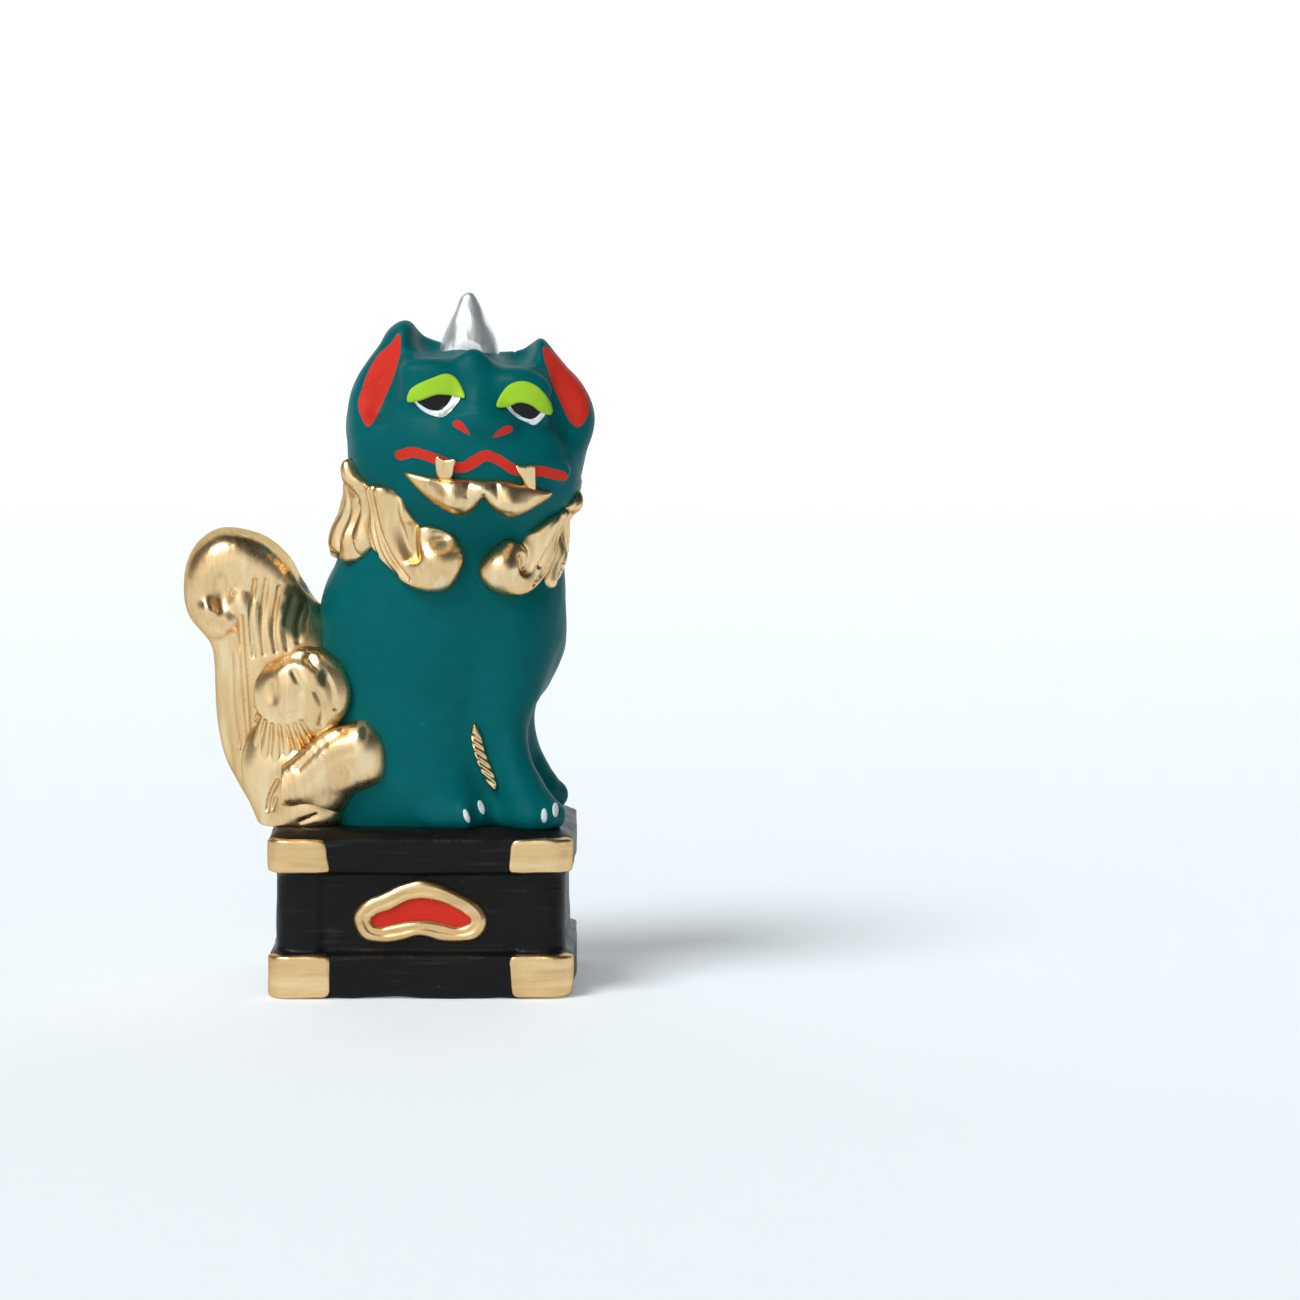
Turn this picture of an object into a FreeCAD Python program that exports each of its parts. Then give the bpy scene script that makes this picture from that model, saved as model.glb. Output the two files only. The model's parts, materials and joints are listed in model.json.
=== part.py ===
"""Guardian lion-dog figure: a moulded clay dog seated sideways on a plinth, its head turned out.

Frame: millimetres, +Z up, origin at the centre of the plinth's underside. The dog's body faces
+X and its head looks along -Y, so its right flank is the one that the head looks out over.
The clay is hollow: a vent in the plinth's floor opens into the plinth and on into the torso.
Every piece that is modelled apart and luted on is an object of its own.
"""

import FreeCAD
import Part
import Sketcher
import os

V = FreeCAD.Vector
SHEET = "sizes"

# Driving dimensions of the pieces that are drawn from straight lines and arcs.
DIMENSIONS = {
    "plinth_width": 38.0,
    "plinth_depth": 27.0,
    "mould_draft": 0.8,
    "corner_round": 1.4,
    "rail_relief": 0.9,
    "lower_rail_top": 5.6,
    "upper_rail_base": 15.0,
    "shoulder_base": 19.2,
    "plinth_top": 20.3,
    "shoulder_inset": 2.0,
    "post_width": 5.8,
    "panel_recess": 0.4,
    "plinth_wall": 3.6,
    "floor_thick": 3.0,
    "top_thick": 3.3,
    "vent_radius": 5.0,
    "throat_radius": 4.8,
    "mount_thick": 0.35,
    "mount_gap": 0.1,
    "mount_length": 8.0,
    "mount_wrap": 1.9,
    "cartouche_half_width": 8.4,
    "cartouche_half_height": 4.2,
    "cartouche_centre_z": 10.3,
    "cartouche_band": 2.4,
    "cartouche_relief": 1.1,
    "cartouche_panel_relief": 0.35,
    "shell_thick": 3.2,
    "head_roll": 6.5,
    "head_turn": 4.0,
    "head_x": 6.0,
    "head_y": -2.0,
    "head_z": 68.0,
    "horn_radius": 3.4,
    "horn_height": 8.6,
    "horn_tip": 1.15,
    "horn_flare": 0.75,
    "horn_flare_height": 0.22,
    "horn_root": 1.5,
    "horn_setback": 0.6,
    "horn_depth": 1.2,
}

# Lofted forms, as ellipses in level planes: z, centre x, centre y, radius along x, radius along y.
LOFTS = {
    "torso": [
        (20.3, -1.8, 0.0, 15.0, 8.6),
        (27.0, -1.4, 0.0, 15.4, 9.2),
        (34.0, -1.0, 0.0, 14.4, 9.6),
        (41.0, 1.9, 0.0, 15.3, 10.0),
        (47.0, 2.4, -0.2, 15.0, 10.0),
        (54.0, 3.3, -0.6, 13.6, 9.8),
        (60.0, 4.0, -1.2, 12.4, 9.0),
        (64.0, 4.8, -1.6, 10.8, 7.6),
    ],
    "foreleg": [
        (20.0, 13.5, -8.2, 3.9, 3.2),
        (23.0, 12.8, -7.9, 3.3, 2.9),
        (28.0, 11.2, -7.2, 2.6, 2.7),
        (34.0, 10.5, -6.6, 2.9, 3.0),
        (40.0, 11.0, -5.6, 3.5, 3.5),
        (46.0, 11.2, -4.4, 3.0, 2.8),
    ],
    "head": [
        (-11.6, -1.0, -2.5, 6.0, 5.0),
        (-8.5, -0.4, -1.6, 11.0, 9.0),
        (-3.5, 0.0, -0.6, 14.2, 11.4),
        (1.5, 0.0, -0.2, 14.3, 11.2),
        (5.5, 0.0, 0.4, 13.0, 9.8),
        (9.0, 0.0, 0.8, 9.0, 6.6),
    ],
    "tail_plume": [
        (19.6, -15.0, 0.0, 5.4, 6.4),
        (27.0, -17.5, 0.0, 6.4, 6.6),
        (34.0, -18.8, 0.0, 6.6, 6.2),
        (41.0, -19.3, 0.0, 6.2, 5.6),
        (46.0, -20.2, 0.0, 6.9, 5.4),
    ],
}

# Rounded forms on the body: centre x, y, z, then radii along x, y and z, then the tilt about y in
# degrees. Each is modelled on the dog's right flank, and mirrored for its left.
FLANK_FORMS = {
    "haunch": (-5.0, -4.6, 28.6, 10.8, 6.2, 9.0, 0.0),
    "hind_paw": (4.6, -8.6, 21.6, 4.9, 2.8, 2.6, 0.0),
    "elbow_tuft": (7.8, -9.3, 28.6, 1.1, 1.1, 4.6, -17.0),
    "tail_curl": (-14.2, -5.4, 35.9, 6.0, 4.6, 5.8, 0.0),
    "rump_curl": (-8.0, -9.4, 29.0, 3.8, 3.0, 3.6, -20.0),
    "tail_foot": (-12.4, -7.2, 23.8, 5.4, 3.8, 4.0, -15.0),
}

# The scroll that the plume rolls into at its top, in the same terms.
TAIL_SCROLL = (-21.9, 0.0, 48.9, 6.9, 5.6, 6.6, 0.0)

# The same on the head, measured from the head's centre, x growing towards the dog's left ear.
HEAD_FORMS = {
    "muzzle": (0.8, -9.0, -4.2, 9.0, 4.4, 5.2, 0.0),
    "nose": (0.6, -11.4, 0.2, 3.4, 2.2, 2.2, 0.0),
    "right_ear": (-10.3, -1.6, 6.6, 3.1, 3.2, 7.6, 20.0),
    "left_ear": (10.3, -1.6, 6.6, 3.1, 3.2, 7.6, -20.0),
    "right_eye": (-4.2, -9.9, 2.0, 2.7, 1.5, 1.7, 0.0),
    "left_eye": (5.6, -9.9, 2.0, 2.7, 1.5, 1.7, 0.0),
    "right_eyelid": (-4.3, -9.7, 3.6, 3.4, 2.0, 2.0, 0.0),
    "left_eyelid": (5.8, -9.7, 3.6, 3.4, 2.0, 2.0, 0.0),
    "right_fang": (-3.4, -13.0, -6.2, 0.95, 1.0, 1.7, 0.0),
    "left_fang": (5.4, -13.0, -6.2, 0.95, 1.0, 1.7, 0.0),
    "chin_beard": (1.0, -10.0, -9.0, 8.9, 3.9, 2.7, 0.0),
}

# The mane: centre x, y, z, then radii along x, y and z, then the tilt about y.
MANE_FORMS = {
    "right_mane_curl": [
        (1.7, -9.6, 50.9, 3.9, 2.4, 3.9, 0.0),
        (-2.6, -9.2, 56.2, 2.6, 2.4, 6.6, -28.0),
    ],
    "left_mane_curl": [
        (11.2, -9.6, 50.7, 3.7, 2.4, 3.7, 0.0),
        (15.0, -8.4, 55.2, 2.1, 2.4, 6.0, 28.0),
    ],
    "right_mane_lock": [
        (-8.4, -3.4, 57.6, 2.6, 4.6, 6.6, 4.0),
    ],
    "left_mane_lock": [
        (16.6, -3.0, 55.4, 2.3, 4.6, 7.0, 8.0),
    ],
    "nape_mane": [
        (-3.8, 7.8, 54.6, 3.8, 3.2, 6.4, -14.0),
        (3.8, 8.8, 53.8, 4.1, 3.2, 7.2, 0.0),
        (11.4, 7.8, 54.6, 3.8, 3.2, 6.4, 14.0),
    ],
}

# Claws as small ovals: centre x, y, z on the dog's right paws. All have the same radii.
CLAWS = {
    "fore_claws": [(14.7, -11.1, 21.9), (16.1, -10.0, 22.2)],
    "hind_claws": [(5.6, -11.3, 21.9), (7.3, -10.8, 22.4)],
}
CLAW_RADII = (0.45, 0.9, 0.8)

# The cartouche's right half, from its apex down to the notch in its lower edge, as shares of its
# half width and half height.
CARTOUCHE_POINTS = [
    (0.0, 1.0), (0.42, 0.62), (0.8, 0.34), (1.0, -0.1),
    (0.86, -0.72), (0.46, -1.0), (0.0, -0.8),
]


class Figure:
    """The document, its sheet of sizes and the list of pieces to write out."""

    def __init__(self):
        self.doc = FreeCAD.newDocument("guardian_dog")
        self.sheet = self.doc.addObject("Spreadsheet::Sheet", SHEET)
        self.row = 0
        self.pieces = []
        for name, value in DIMENSIONS.items():
            self.size(name, value)
        self.doc.recompute()

    def size(self, name, value):
        """Adds one named value to the sheet and returns the expression that reads it."""
        self.row += 1
        self.sheet.set(f"A{self.row}", name)
        self.sheet.set(f"B{self.row}", str(value))
        self.sheet.setAlias(f"B{self.row}", name)
        return f"{SHEET}.{name}"

    def value(self, name):
        """A named value of the sheet, as a number."""
        return float(self.sheet.get(name))

    def piece(self, feature, label):
        """Marks an object of the document as a sub-part, under the name of its file."""
        feature.Label = label
        self.pieces.append(feature)
        return feature


def placed(x, y, z, tilt=0.0):
    """A placement at a point, tilted about y so that a positive tilt leans the top towards +x."""
    return FreeCAD.Placement(V(x, y, z), FreeCAD.Rotation(V(0, 1, 0), tilt))


def head_frame(fig):
    """The placement that carries the head's own axes into the figure's frame."""
    roll = FreeCAD.Rotation(V(0, 1, 0), fig.value("head_roll"))
    turn = FreeCAD.Rotation(V(0, 0, 1), fig.value("head_turn"))
    centre = V(fig.value("head_x"), fig.value("head_y"), fig.value("head_z"))
    return FreeCAD.Placement(centre, turn.multiply(roll))


def ellipsoid(fig, name, form, frame=None):
    """A Part::Ellipsoid whose radii and place are cells of the sheet."""
    x, y, z, rx, ry, rz, tilt = form
    radii = {"Radius2": ("rx", rx), "Radius3": ("ry", ry), "Radius1": ("rz", rz)}
    solid = fig.doc.addObject("Part::Ellipsoid", f"{name}_form")
    for key, (suffix, size) in radii.items():
        solid.setExpression(key, fig.size(f"{name}_{suffix}", size))
    place = placed(x, y, z, tilt)
    solid.Placement = frame.multiply(place) if frame else place
    if not frame:
        for axis, at in zip("xyz", (x, y, z)):
            solid.setExpression(f"Placement.Base.{axis}", fig.size(f"{name}_{axis}", at))
    return solid


def loft(fig, name, sections, shrink=0.0, frame=None):
    """A Part::Loft through level ellipses, each ellipse's radii bound to the sheet."""
    wires = []
    for number, (z, x, y, rx, ry) in enumerate(sections, 1):
        wire = fig.doc.addObject("Part::Ellipse", f"{name}_section_{number}")
        along_x = rx >= ry
        keys = ("MajorRadius", "MinorRadius") if along_x else ("MinorRadius", "MajorRadius")
        for key, suffix, size in zip(keys, ("rx", "ry"), (rx, ry)):
            wire.setExpression(key, fig.size(f"{name}_{suffix}{number}", size - shrink))
        turn = FreeCAD.Rotation(V(0, 0, 1), 0 if along_x else 90)
        wire.Placement = FreeCAD.Placement(V(x, y, z), turn)
        for axis, at in zip("xyz", (x, y, z)):
            expression = fig.size(f"{name}_{axis}_{number}", at)
            wire.setExpression(f"Placement.Base.{axis}", expression)
        wires.append(wire)
    solid = fig.doc.addObject("Part::Loft", f"{name}_loft")
    solid.Sections = wires
    solid.Solid = True
    solid.Ruled = False
    if frame:
        solid.Placement = frame
    return solid


def fuse(fig, name, shapes):
    """Several shapes as one, or the shape itself where there is only one."""
    if len(shapes) == 1:
        return shapes[0]
    whole = fig.doc.addObject("Part::MultiFuse", name)
    whole.Shapes = shapes
    whole.Refine = False
    return whole


def cut(fig, name, base, tools):
    """base with each tool cut away, one after another, so that the pieces meet face to face."""
    for number, tool in enumerate(tools, 1):
        less = fig.doc.addObject("Part::Cut", f"{name}_less_{number}")
        less.Base = base
        less.Tool = tool
        base = less
    return base


def mirrored(fig, name, source):
    """source seen in the dog's middle plane, y = 0."""
    twin = fig.doc.addObject("Part::Mirroring", name)
    twin.Source = source
    twin.Normal = V(0, 1, 0)
    return twin


def origin_plane(body, role):
    """One of the body's own origin planes."""
    return next(f for f in body.Origin.OriginFeatures if f.Role == role)


def plan_sketch(fig, body, name, inset, height):
    """The plinth's level outline: widest at the mould seam, y = 0, and drawn in at front and back."""
    half_w, half_d = f"({SHEET}.plinth_width / 2 - {inset})", f"({SHEET}.plinth_depth / 2 - {inset})"
    front = f"({half_w} - {SHEET}.mould_draft)"
    corners = [
        (f"-{front}", f"-{half_d}"), (front, f"-{half_d}"), (half_w, "0"),
        (front, half_d), (f"-{front}", half_d), (f"-{half_w}", "0"),
    ]
    guess = [(-10, -8), (10, -8), (12, 0), (10, 8), (-10, 8), (-12, 0)]
    sketch = body.newObject("Sketcher::SketchObject", name)
    sketch.AttachmentSupport = [(origin_plane(body, "XY_Plane"), "")]
    sketch.MapMode = "FlatFace"
    sketch.setExpression("AttachmentOffset.Base.z", height)
    count = len(corners)
    for i in range(count):
        start, end = guess[i], guess[(i + 1) % count]
        sketch.addGeometry(Part.LineSegment(V(*start, 0), V(*end, 0)), False)
    for i in range(count):
        sketch.addConstraint(Sketcher.Constraint("Coincident", i, 2, (i + 1) % count, 1))
    for i, pair in enumerate(corners):
        for kind, expression, at in zip(("DistanceX", "DistanceY"), pair, guess[i]):
            index = sketch.addConstraint(Sketcher.Constraint(kind, -1, 1, i, 1, at))
            label = f"{kind[-1].lower()}{i}"
            sketch.renameConstraint(index, label)
            sketch.setExpression(f"Constraints.{label}", expression)
    return sketch


def pad(body, name, sketch, length):
    """A Pad of a sketch, its length an expression."""
    feature = body.newObject("PartDesign::Pad", name)
    feature.Profile = sketch
    feature.setExpression("Length", length)
    return feature


def round_uprights(body, name, feature, radius):
    """Rounds the upright edges at a prism's four corners, and leaves the mould seam's edges sharp."""
    body.Document.recompute()
    names = []
    for number, edge in enumerate(feature.Shape.Edges, 1):
        first, last = edge.Vertexes[0].Point, edge.Vertexes[-1].Point
        upright = abs(first.x - last.x) < 1e-6 and abs(first.y - last.y) < 1e-6
        if upright and abs(first.y) > 1.0:
            names.append(f"Edge{number}")
    fillet = body.newObject("PartDesign::Fillet", name)
    fillet.Base = (feature, names)
    fillet.setExpression("Radius", radius)


def plinth_blank(fig, name, layers, radius):
    """A body of stacked prisms of the plinth's outline. layers: name, inset, base and top."""
    body = fig.doc.addObject("PartDesign::Body", name)
    for label, inset, base, top in layers:
        sketch = plan_sketch(fig, body, f"{name}_{label}_plan", inset, base)
        prism = pad(body, f"{name}_{label}", sketch, f"{top} - {base}")
    round_uprights(body, f"{name}_corners", prism, radius)
    return body


def sunk_panel(fig, body, name, centre_y):
    """A shallow recess in the waist between two corner posts, centred on the waist's face."""
    s = SHEET
    box = body.newObject("PartDesign::SubtractiveBox", name)
    box.AttachmentSupport = [(origin_plane(body, "XY_Plane"), "")]
    box.MapMode = "FlatFace"
    half_length = f"({s}.plinth_width / 2 - {s}.rail_relief - {s}.post_width)"
    box.setExpression("Length", f"2 * {half_length}")
    box.setExpression("Width", f"2 * {s}.panel_recess")
    box.setExpression("Height", f"{s}.upper_rail_base - {s}.lower_rail_top")
    box.setExpression("AttachmentOffset.Base.x", f"0 - {half_length}")
    box.setExpression("AttachmentOffset.Base.y", f"{centre_y} - {s}.panel_recess")
    box.setExpression("AttachmentOffset.Base.z", f"{s}.lower_rail_top")
    return box


def round_hole(fig, name, radius, base, height):
    """A cylinder on the z axis to cut a hole with, from base upwards."""
    hole = fig.doc.addObject("Part::Cylinder", name)
    hole.setExpression("Radius", radius)
    hole.setExpression("Height", height)
    hole.setExpression("Placement.Base.z", base)
    return hole


def plinth_hollow(fig):
    """The air inside the plinth: its chamber, the vent below and the throat into the torso."""
    s = SHEET
    wall = f"({s}.plinth_wall + {s}.rail_relief)"
    chamber = fig.doc.addObject("Part::Box", "plinth_chamber")
    chamber.setExpression("Length", f"{s}.plinth_width - 2 * {wall}")
    chamber.setExpression("Width", f"{s}.plinth_depth - 2 * {wall}")
    chamber.setExpression("Height", f"{s}.plinth_top - {s}.top_thick - {s}.floor_thick")
    chamber.setExpression("Placement.Base.x", f"{wall} - {s}.plinth_width / 2")
    chamber.setExpression("Placement.Base.y", f"{wall} - {s}.plinth_depth / 2")
    chamber.setExpression("Placement.Base.z", f"{s}.floor_thick")
    vent = round_hole(fig, "vent", f"{s}.vent_radius", "0 - 1", f"{s}.floor_thick + 2")
    base = f"{s}.plinth_top - {s}.top_thick - 1"
    throat = round_hole(fig, "throat", f"{s}.throat_radius", base, f"{s}.top_thick + 2")
    return fuse(fig, "plinth_air", [chamber, vent, throat])


def build_plinth(fig):
    """The black plinth: two rails and a waist between corner posts, hollow, with a vent below."""
    s = SHEET
    relief, rounding = f"{s}.rail_relief", f"{s}.corner_round"
    layers = [
        ("lower_rail", "0", "0", f"{s}.lower_rail_top"),
        ("waist", relief, f"{s}.lower_rail_top", f"{s}.upper_rail_base"),
        ("upper_rail", "0", f"{s}.upper_rail_base", f"{s}.shoulder_base"),
    ]
    outer = plinth_blank(fig, "plinth_blank", layers, rounding)
    foot = plan_sketch(fig, outer, "shoulder_foot", f"{rounding} / 3", f"{s}.shoulder_base")
    crown = plan_sketch(fig, outer, "shoulder_crown", f"{s}.shoulder_inset", f"{s}.plinth_top")
    shoulder = outer.newObject("PartDesign::AdditiveLoft", "shoulder")
    shoulder.Profile = foot
    shoulder.Sections = [crown]
    shoulder.Ruled = True
    waist_face = f"({s}.plinth_depth / 2 - {relief})"
    sunk_panel(fig, outer, "front_panel", f"0 - {waist_face}")
    sunk_panel(fig, outer, "back_panel", waist_face)
    fig.piece(cut(fig, "plinth", outer, [plinth_hollow(fig)]), "plinth")
    return outer


def build_corner_mounts(fig, outer):
    """Gilt mounts on the front and back of each rail, each turned round its corner. Four to a rail."""
    s = SHEET
    thick, length, wrap = (fig.value(n) for n in ("mount_thick", "mount_length", "mount_wrap"))
    half_w, half_d = fig.value("plinth_width") / 2, fig.value("plinth_depth") / 2
    rails = {
        "lower_corner_mounts": (f"{s}.mount_gap", f"{s}.lower_rail_top - {s}.mount_gap"),
        "upper_corner_mounts": (f"{s}.upper_rail_base + {s}.mount_gap", f"{s}.shoulder_base"),
    }
    for label, (base, top) in rails.items():
        rounding = f"{s}.corner_round + {s}.mount_thick"
        layers = [("sleeve", f"(0 - {s}.mount_thick)", base, top)]
        sleeve = plinth_blank(fig, f"{label}_blank", layers, rounding)
        blocks = []
        for number, (side_x, side_y) in enumerate(((-1, -1), (1, -1), (1, 1), (-1, 1)), 1):
            block = fig.doc.addObject("Part::Box", f"{label}_block_{number}")
            block.setExpression("Length", f"{s}.mount_length + {s}.mount_thick")
            block.setExpression("Width", f"{s}.mount_wrap + {s}.mount_thick")
            block.setExpression("Height", f"{s}.plinth_top")
            x = half_w - length if side_x > 0 else -half_w - thick
            y = half_d - wrap if side_y > 0 else -half_d - thick
            block.Placement = FreeCAD.Placement(V(x, y, 0), FreeCAD.Rotation())
            blocks.append(block)
        common = fig.doc.addObject("Part::MultiCommon", f"{label}_common")
        common.Shapes = [sleeve, fuse(fig, f"{label}_blocks", blocks)]
        fig.piece(cut(fig, label, common, [outer]), label)


def cartouche_solid(fig, inset, back_y, front_y):
    """A prism of the cartouche's outline, drawn in by inset, between two planes of y."""
    half_w = fig.value("cartouche_half_width") - inset
    half_h = fig.value("cartouche_half_height") - inset
    centre_z = fig.value("cartouche_centre_z")
    right = [V(u * half_w, back_y, centre_z + v * half_h) for u, v in CARTOUCHE_POINTS]
    left = [V(-p.x, p.y, p.z) for p in reversed(right[1:-1])]
    curve = Part.BSplineCurve()
    curve.interpolate(right + left, PeriodicFlag=True)
    face = Part.Face(Part.Wire(curve.toShape()))
    return face.extrude(V(0, front_y - back_y, 0))


def build_cartouche(fig):
    """The framed panel in the middle of the waist: a gilt frame round a red field."""
    panel_y = -(fig.value("plinth_depth") / 2 - fig.value("rail_relief") - fig.value("panel_recess"))
    frame_y = panel_y - fig.value("cartouche_relief")
    field_y = panel_y - fig.value("cartouche_panel_relief")
    band = fig.value("cartouche_band")
    outer = cartouche_solid(fig, 0.0, panel_y, frame_y)
    hole = cartouche_solid(fig, band, panel_y + 1.0, frame_y - 1.0)
    frame = fig.doc.addObject("Part::Feature", "cartouche_frame")
    frame.Shape = outer.cut(hole)
    frame.Placement = FreeCAD.Placement()
    fig.piece(frame, "cartouche_frame")
    field = fig.doc.addObject("Part::Feature", "cartouche_field")
    field.Shape = cartouche_solid(fig, band, panel_y, field_y)
    field.Placement = FreeCAD.Placement()
    fig.piece(field, "cartouche_field")


def build_torso(fig):
    """The torso from the plinth to the neck, a hollow shell open at its foot."""
    outer = loft(fig, "torso", LOFTS["torso"])
    shell = fig.value("shell_thick")
    inside = [(z, x, y, rx, ry) for z, x, y, rx, ry in LOFTS["torso"][:-1]]
    first, last = inside[0], inside[-1]
    inside[0] = (first[0] - 0.5, *first[1:])
    inside[-1] = (last[0] - shell / 2, *last[1:])
    core = loft(fig, "torso_inside", inside, shrink=shell)
    fig.piece(cut(fig, "torso", outer, [core]), "torso")
    return outer


def both_flanks(fig, name, form, neighbours):
    """Enters a form of the right flank, cut back by its neighbours, and its twin on the left."""
    right = cut(fig, name, form, neighbours)
    fig.piece(right, f"right_{name}")
    fig.piece(mirrored(fig, f"{name}_twin", right), f"left_{name}")


def build_legs(fig, outer, torso):
    """Haunches, hind paws, forelegs, the tufts behind the elbows, and the claws."""
    names = ("haunch", "hind_paw", "elbow_tuft")
    haunch, hind_paw, tuft = (ellipsoid(fig, name, FLANK_FORMS[name]) for name in names)
    foreleg = loft(fig, "foreleg", LOFTS["foreleg"])
    both_flanks(fig, "haunch", haunch, [torso, outer])
    both_flanks(fig, "foreleg", foreleg, [torso, outer])
    both_flanks(fig, "hind_paw", hind_paw, [torso, outer, haunch, foreleg])
    both_flanks(fig, "elbow_tuft", tuft, [torso, outer, foreleg, hind_paw, haunch])
    owners = {"fore_claws": [foreleg, outer], "hind_claws": [hind_paw, foreleg, haunch, outer]}
    for label, centres in CLAWS.items():
        ovals = [
            ellipsoid(fig, f"{label}_{number}", (*centre, *CLAW_RADII, 0.0))
            for number, centre in enumerate(centres, 1)
        ]
        right = cut(fig, label, fuse(fig, f"{label}_row", ovals), owners[label])
        whole = fig.doc.addObject("Part::Compound", f"{label}_both")
        whole.Links = [right, mirrored(fig, f"{label}_twin", right)]
        fig.piece(whole, label)
    return haunch


def build_head(fig, torso):
    """The head with its muzzle, ears, horn, eyes, lids, fangs and the beard under the chin."""
    frame = head_frame(fig)
    skull = loft(fig, "head", LOFTS["head"], frame=frame)
    forms = {name: ellipsoid(fig, name, form, frame) for name, form in HEAD_FORMS.items()}
    mass = fuse(fig, "head_mass", [skull, forms["muzzle"], forms["nose"]])
    head = fig.piece(cut(fig, "head", mass, [torso]), "head")
    for side in ("right", "left"):
        fig.piece(cut(fig, f"{side}_ear", forms[f"{side}_ear"], [mass]), f"{side}_ear")
        lid = cut(fig, f"{side}_eyelid", forms[f"{side}_eyelid"], [mass, forms[f"{side}_eye"]])
        fig.piece(cut(fig, f"{side}_eye", forms[f"{side}_eye"], [mass]), f"{side}_eye")
        fig.piece(lid, f"{side}_eyelid")
    beard = forms["chin_beard"]
    fig.piece(cut(fig, "chin_beard", beard, [mass, torso]), "chin_beard")
    for side in ("right", "left"):
        fang = cut(fig, f"{side}_fang", forms[f"{side}_fang"], [mass, beard])
        fig.piece(fang, f"{side}_fang")
    fig.piece(cut(fig, "horn", horn_solid(fig, frame), [mass]), "horn")
    return mass, beard


def horn_solid(fig, frame):
    """The horn: a revolved spike with a flared foot and a rounded tip, upright on the head."""
    s = SHEET
    body = fig.doc.addObject("PartDesign::Body", "horn_spike")
    sketch = body.newObject("Sketcher::SketchObject", "horn_half_section")
    sketch.AttachmentSupport = [(origin_plane(body, "XZ_Plane"), "")]
    sketch.MapMode = "FlatFace"
    corners = [
        ("0", f"0 - {s}.horn_root"),
        (f"{s}.horn_radius", f"0 - {s}.horn_root"),
        (f"{s}.horn_radius * {s}.horn_flare", f"{s}.horn_height * {s}.horn_flare_height"),
        (f"{s}.horn_tip", f"{s}.horn_height - {s}.horn_tip * 0.5"),
        ("0", f"{s}.horn_height"),
    ]
    guess = [(0, -1), (3, -1), (2.5, 2), (1, 7), (0, 8)]
    count = len(corners)
    for i in range(count):
        sketch.addGeometry(
            Part.LineSegment(V(*guess[i], 0), V(*guess[(i + 1) % count], 0)), False
        )
    for i in range(count):
        sketch.addConstraint(Sketcher.Constraint("Coincident", i, 2, (i + 1) % count, 1))
    for i, pair in enumerate(corners):
        for kind, expression, at in zip(("DistanceX", "DistanceY"), pair, guess[i]):
            index = sketch.addConstraint(Sketcher.Constraint(kind, -1, 1, i, 1, at))
            label = f"{kind[-1].lower()}{i}"
            sketch.renameConstraint(index, label)
            sketch.setExpression(f"Constraints.{label}", expression)
    turn = body.newObject("PartDesign::Revolution", "horn_turned")
    turn.Profile = sketch
    turn.ReferenceAxis = (sketch, ["V_Axis"])
    turn.Angle = 360.0
    crown = LOFTS["head"][-1][0] - fig.value("horn_depth")
    top = frame.multVec(V(0, fig.value("horn_setback"), crown))
    body.Placement = FreeCAD.Placement(top, FreeCAD.Rotation())
    return body


def build_mane(fig, torso, head, beard):
    """Gilt curls either side of the chest, the locks behind the jaw and the mane down the nape."""
    neighbours = [torso, head, beard]
    for label, forms in MANE_FORMS.items():
        solids = [
            ellipsoid(fig, f"{label}_{number}", form) for number, form in enumerate(forms, 1)
        ]
        whole = fuse(fig, f"{label}_mass", solids)
        fig.piece(cut(fig, label, whole, neighbours), label)
        neighbours.append(whole)


def build_tail(fig, outer, torso, haunch):
    """The upright plume, the big curl and the small curl on each flank, and the tuft at its foot."""
    scroll = ellipsoid(fig, "tail_scroll", TAIL_SCROLL)
    plume = fuse(fig, "tail_mass", [loft(fig, "tail_plume", LOFTS["tail_plume"]), scroll])
    other_haunch = mirrored(fig, "haunch_for_tail", haunch)
    fig.piece(cut(fig, "tail_plume", plume, [torso, outer, haunch, other_haunch]), "tail_plume")
    neighbours = [torso, plume, haunch, outer]
    for name in ("tail_curl", "tail_foot", "rump_curl"):
        form = ellipsoid(fig, name, FLANK_FORMS[name])
        both_flanks(fig, name, form, neighbours)
        neighbours.append(form)


def check(fig):
    """Stops if a feature failed, or if a piece is empty or isn't a valid closed solid."""
    for feature in fig.doc.Objects:
        if {"Invalid", "Error"} & set(feature.State):
            raise RuntimeError(f"{feature.Name} ({feature.Label}) is {feature.State}")
    for piece in fig.pieces:
        shape = piece.Shape
        if shape.isNull() or not shape.isValid() or not shape.Solids:
            raise RuntimeError(f"{piece.Label} has no valid solid")
        print(f"{piece.Label}: {len(shape.Solids)} solid(s), {shape.Volume:.1f} mm3")


def main():
    """Builds every piece and writes each to its own file."""
    fig = Figure()
    outer = build_plinth(fig)
    build_corner_mounts(fig, outer)
    build_cartouche(fig)
    torso = build_torso(fig)
    haunch = build_legs(fig, outer, torso)
    head, beard = build_head(fig, torso)
    build_mane(fig, torso, head, beard)
    build_tail(fig, outer, torso, haunch)
    fig.doc.recompute()
    check(fig)
    os.makedirs("parts", exist_ok=True)
    for piece in fig.pieces:
        piece.Shape.exportStep(f"parts/{piece.Label}.step")


main()
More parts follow.
